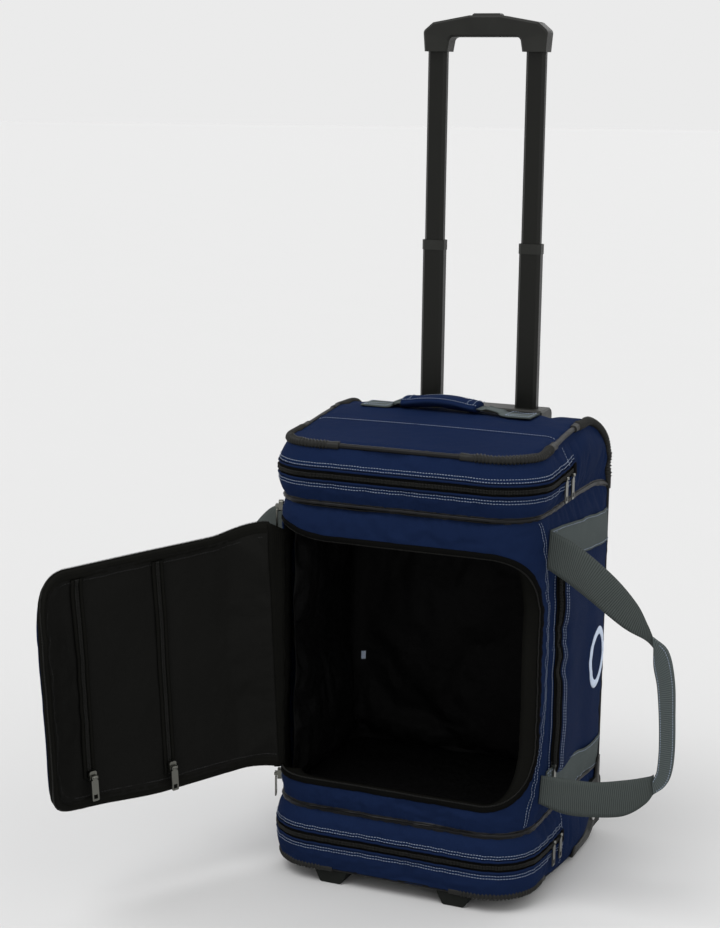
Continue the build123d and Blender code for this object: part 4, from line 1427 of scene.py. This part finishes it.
def lid_sheet(name, inset, depth_of, material, replaces, inward, thickness):
    """One of the lid's two cloths, out to the inset from its edge."""
    shape = Shape()

    def spot(t, z):
        s = t * lid_end(z, inset)
        return lid_spot(s, z, depth_of(s, z))

    shape.grid(shares(60), lid_rows(inset), spot, not inward)
    shape.cloth = [(t * lid_end(z, inset) * MM, z * MM, 0) for z in lid_rows(inset) for t in shares(60)]
    relax(piece(name, shape, material, "lid", replaces, thickness))


def lid_edge_distance(s, z):
    """How far a point of the lid lies in from its free edge."""
    return min(z - LID_LOW, LID_HIGH - z, lid_end(z, 0.0) - s)


LID_CLOTH_INSET = 9.0
LID_LINING_DEPTH = 6.8


def build_lid():
    """The open lid: its two cloths, bound edge, teeth, and the zips of its two pockets."""
    zips = [pocket_zip_place(word) for word in ("inner", "outer")]

    def outer_depth(s, z):
        edge = lid_edge_distance(s, z)
        fill = smooth(0, 40, edge) * smooth(0, 25, s)
        return -2.5 * fill + 0.8 * wave(s, z, 43.0, 30.0) * fill - pucker(edge, s + z, 44.0) * 0.4

    def inner_depth(s, z):
        edge = lid_edge_distance(s, z)
        fill = smooth(0, 30, edge)
        near = min(abs(s - s_zip) for s_zip, _ in zips)
        soft = 0.9 * wave(s, z, 45.0, 32.0) + 0.5 * wave(s, z * 0.5, 46.0, 12.0)
        return LID_LINING_DEPTH + 2.0 * smooth(4, 30, near) * fill + soft * fill

    lid_sheet("lid_cloth", LID_CLOTH_INSET, outer_depth, NAVY, ["lid_panel"], False, 1.2)
    lid_sheet(
        "lid_inner_cloth", LID_CLOTH_INSET, inner_depth, LID_LINING, ["lid_lining"],
        True, 1.0,
    )
    binding, teeth, pockets, runs, dark = Shape(), Shape(), Shape(), Shape(), Shape()
    round_edge = [(-7, 1), (-5, -0.5), (4, -0.5), (6, 0.5), (6.5, 4), (6, 7.5), (4, 8.6), (-5, 8.2), (-7, 7)]
    binding.sweep(lid_path(lid_outline(9.5), 0.4), round_edge)
    binding.sweep(lid_path(lid_outline(4.5), 2.0), flat(6.0, 2.2))
    coil(teeth, lid_path(lid_outline(1.8), 3.2), half=(1.8, 0.6, 1.0))
    stitched(dark, lid_path(lid_outline(18.0, 4.0), 8.6), 0.0, 0.6, 3.4)
    for s_zip, z_low in zips:
        line = [(s_zip + 1.2 * wave(z, 0, 47.0, 60.0), z) for z in spread(z_low - 10, LID_HIGH - 15, 4.0)]
        path = lid_path(line, 8.6)
        pockets.sweep(path, flat(7.5, 1.2))
        pockets.sweep(beside(path, 5.2, 0.4), flat(4.0, 2.6))
        pockets.sweep(beside(path, -5.2, 0.4), flat(4.0, 2.2))
        closed_coil(runs, path, 1.6)
    piece("lid_binding", binding, TRIM, "lid", ["lid_zip"])
    piece("lid_teeth", teeth, COIL, "lid")
    piece("lid_pocket_tapes", pockets, TRIM, "lid", ["lid_pocket_zips"])
    piece("lid_pocket_coils", runs, COIL, "lid")
    piece("lid_dark_stitching", dark, DARK_THREAD, "lid")
    build_hinge_cloth()


def build_hinge_cloth():
    """The strip of cloth that the lid hangs on: sewn to the case on one side and the lid on the other."""
    shape = Shape()
    on_case, on_lid = 5.0, 7.0

    def spot(t, z):
        """A point from the case's side at t = 0, over both lips, to the lid's side at t = 1."""
        points = [
            lay(-OPENING_U - on_case, z, -2.2), lay(-OPENING_U + 0.5, z, -2.0),
            lid_spot(0.5, z, 5.0), lid_spot(on_lid, z, 7.0),
        ]
        k = min(int(t * 3), 2)
        return points[k].lerp(points[k + 1], t * 3 - k)

    shape.grid(shares(12), spread(OPENING_LOW + 1, OPENING_HIGH - 1, 5.0), spot)
    shape.cloth = [(i % 13 * 2 * MM, point.z * MM, 0) for i, point in enumerate(shape.points)]
    strip = piece("hinge_cloth", shape, TRIM, None, thickness=1.2)
    start, end = place(spot(0.0, OPENING_MIDDLE)), place(spot(1.0, OPENING_MIDDLE))
    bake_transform(strip)


def squash_spring():
    """Gives the button's spring a mesh of its own."""
    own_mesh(frame["nodes"]["button_spring"])


# ---------------------------------------------------------------- camera, light and floor
AZIMUTH, ELEVATION, ROLL = math.radians(23.217), math.radians(11.16), math.radians(0.725)
LENS, SENSOR = 73.5, 36.0
TARGET, DISTANCE = Vector((-106.26, 0, 475.9)), 2280.5
LIT_POINT = Vector((0, 0, 0.5))
LIGHTS = {  # where, its size in degrees, and its power
    "key": ((-0.8, -1.5, 3.6), 35, 1.5),
    "fill": ((2.6, -1.2, 1.8), 50, 0.5),
    "behind": ((0.6, 2.6, 2.2), 50, 0.4),
}


def build_camera():
    level = math.cos(ELEVATION)
    back = Vector((math.sin(AZIMUTH) * level, -math.cos(AZIMUTH) * level, math.sin(ELEVATION)))
    flat_right = (-back).cross(UP).normalized()
    flat_up = flat_right.cross(-back)
    right = flat_right * math.cos(ROLL) + flat_up * math.sin(ROLL)
    up = -flat_right * math.sin(ROLL) + flat_up * math.cos(ROLL)
    data = bpy.data.cameras.new("camera")
    data.lens, data.sensor_width, data.clip_end = LENS, SENSOR, 50.0
    camera = show(bpy.data.objects.new("camera", data))
    turn = Matrix((right, up, back)).transposed().to_4x4()
    camera.matrix_world = Matrix.Translation(place(TARGET + back * DISTANCE)) @ turn
    bpy.context.scene.camera = camera


def build_studio():
    for name, (where, size, power) in LIGHTS.items():
        light = bpy.data.lights.new(name, "SUN")
        light.angle, light.energy = math.radians(size), power
        turn = (LIT_POINT - Vector(where)).to_track_quat("-Z", "Y").to_matrix().to_4x4()
        show(bpy.data.objects.new(name, light)).matrix_world = Matrix.Translation(where) @ turn

    world = bpy.data.worlds.new("studio")
    world.use_nodes = True
    world.node_tree.nodes["Background"].inputs[0].default_value = (0.83, 0.83, 0.83, 1)
    bpy.context.scene.world = world
    bpy.context.scene.view_settings.view_transform = "Standard"

    mesh = bpy.data.meshes.new("floor")
    reach = 60.0
    corners = [(-reach, -reach, 0), (reach, -reach, 0), (reach, reach, 0), (-reach, reach, 0)]
    mesh.from_pydata(corners, [], [(0, 1, 2, 3)])
    f = Finish("pale floor")
    shade = f.blend(f.noise(f.coordinates(), 3.0), (0.590, 0.590, 0.590), (0.596, 0.596, 0.596))
    mesh.materials.append(f.done(shade, 0.75, f.bump(f.noise(f.coordinates(), 300.0), 0.05, 0.0005)))
    show(bpy.data.objects.new("floor", mesh))


SIDES = {"right": 1, "left": -1}

build_camera()
build_studio()
finish_hard_nodes()
for side_name, side_sign in SIDES.items():
    build_side(side_name, side_sign)
build_end_pocket("upper", UPPER_SEAM, TOP, UPPER_ZIP)
build_end_pocket("lower", BASE, LOWER_SEAM, LOWER_ZIP)
build_front()
build_top()
build_back()
build_bottom()
build_piping()
build_guards()
build_kick_guards()
build_end_zips()
build_side_zip()
build_opening_trim()
build_lining()
for side_name, side_sign in SIDES.items():
    build_carry(side_name, side_sign)
build_patches()
build_grab_handle()
build_badge()
build_lid()
run_cloth()
squash_spring()
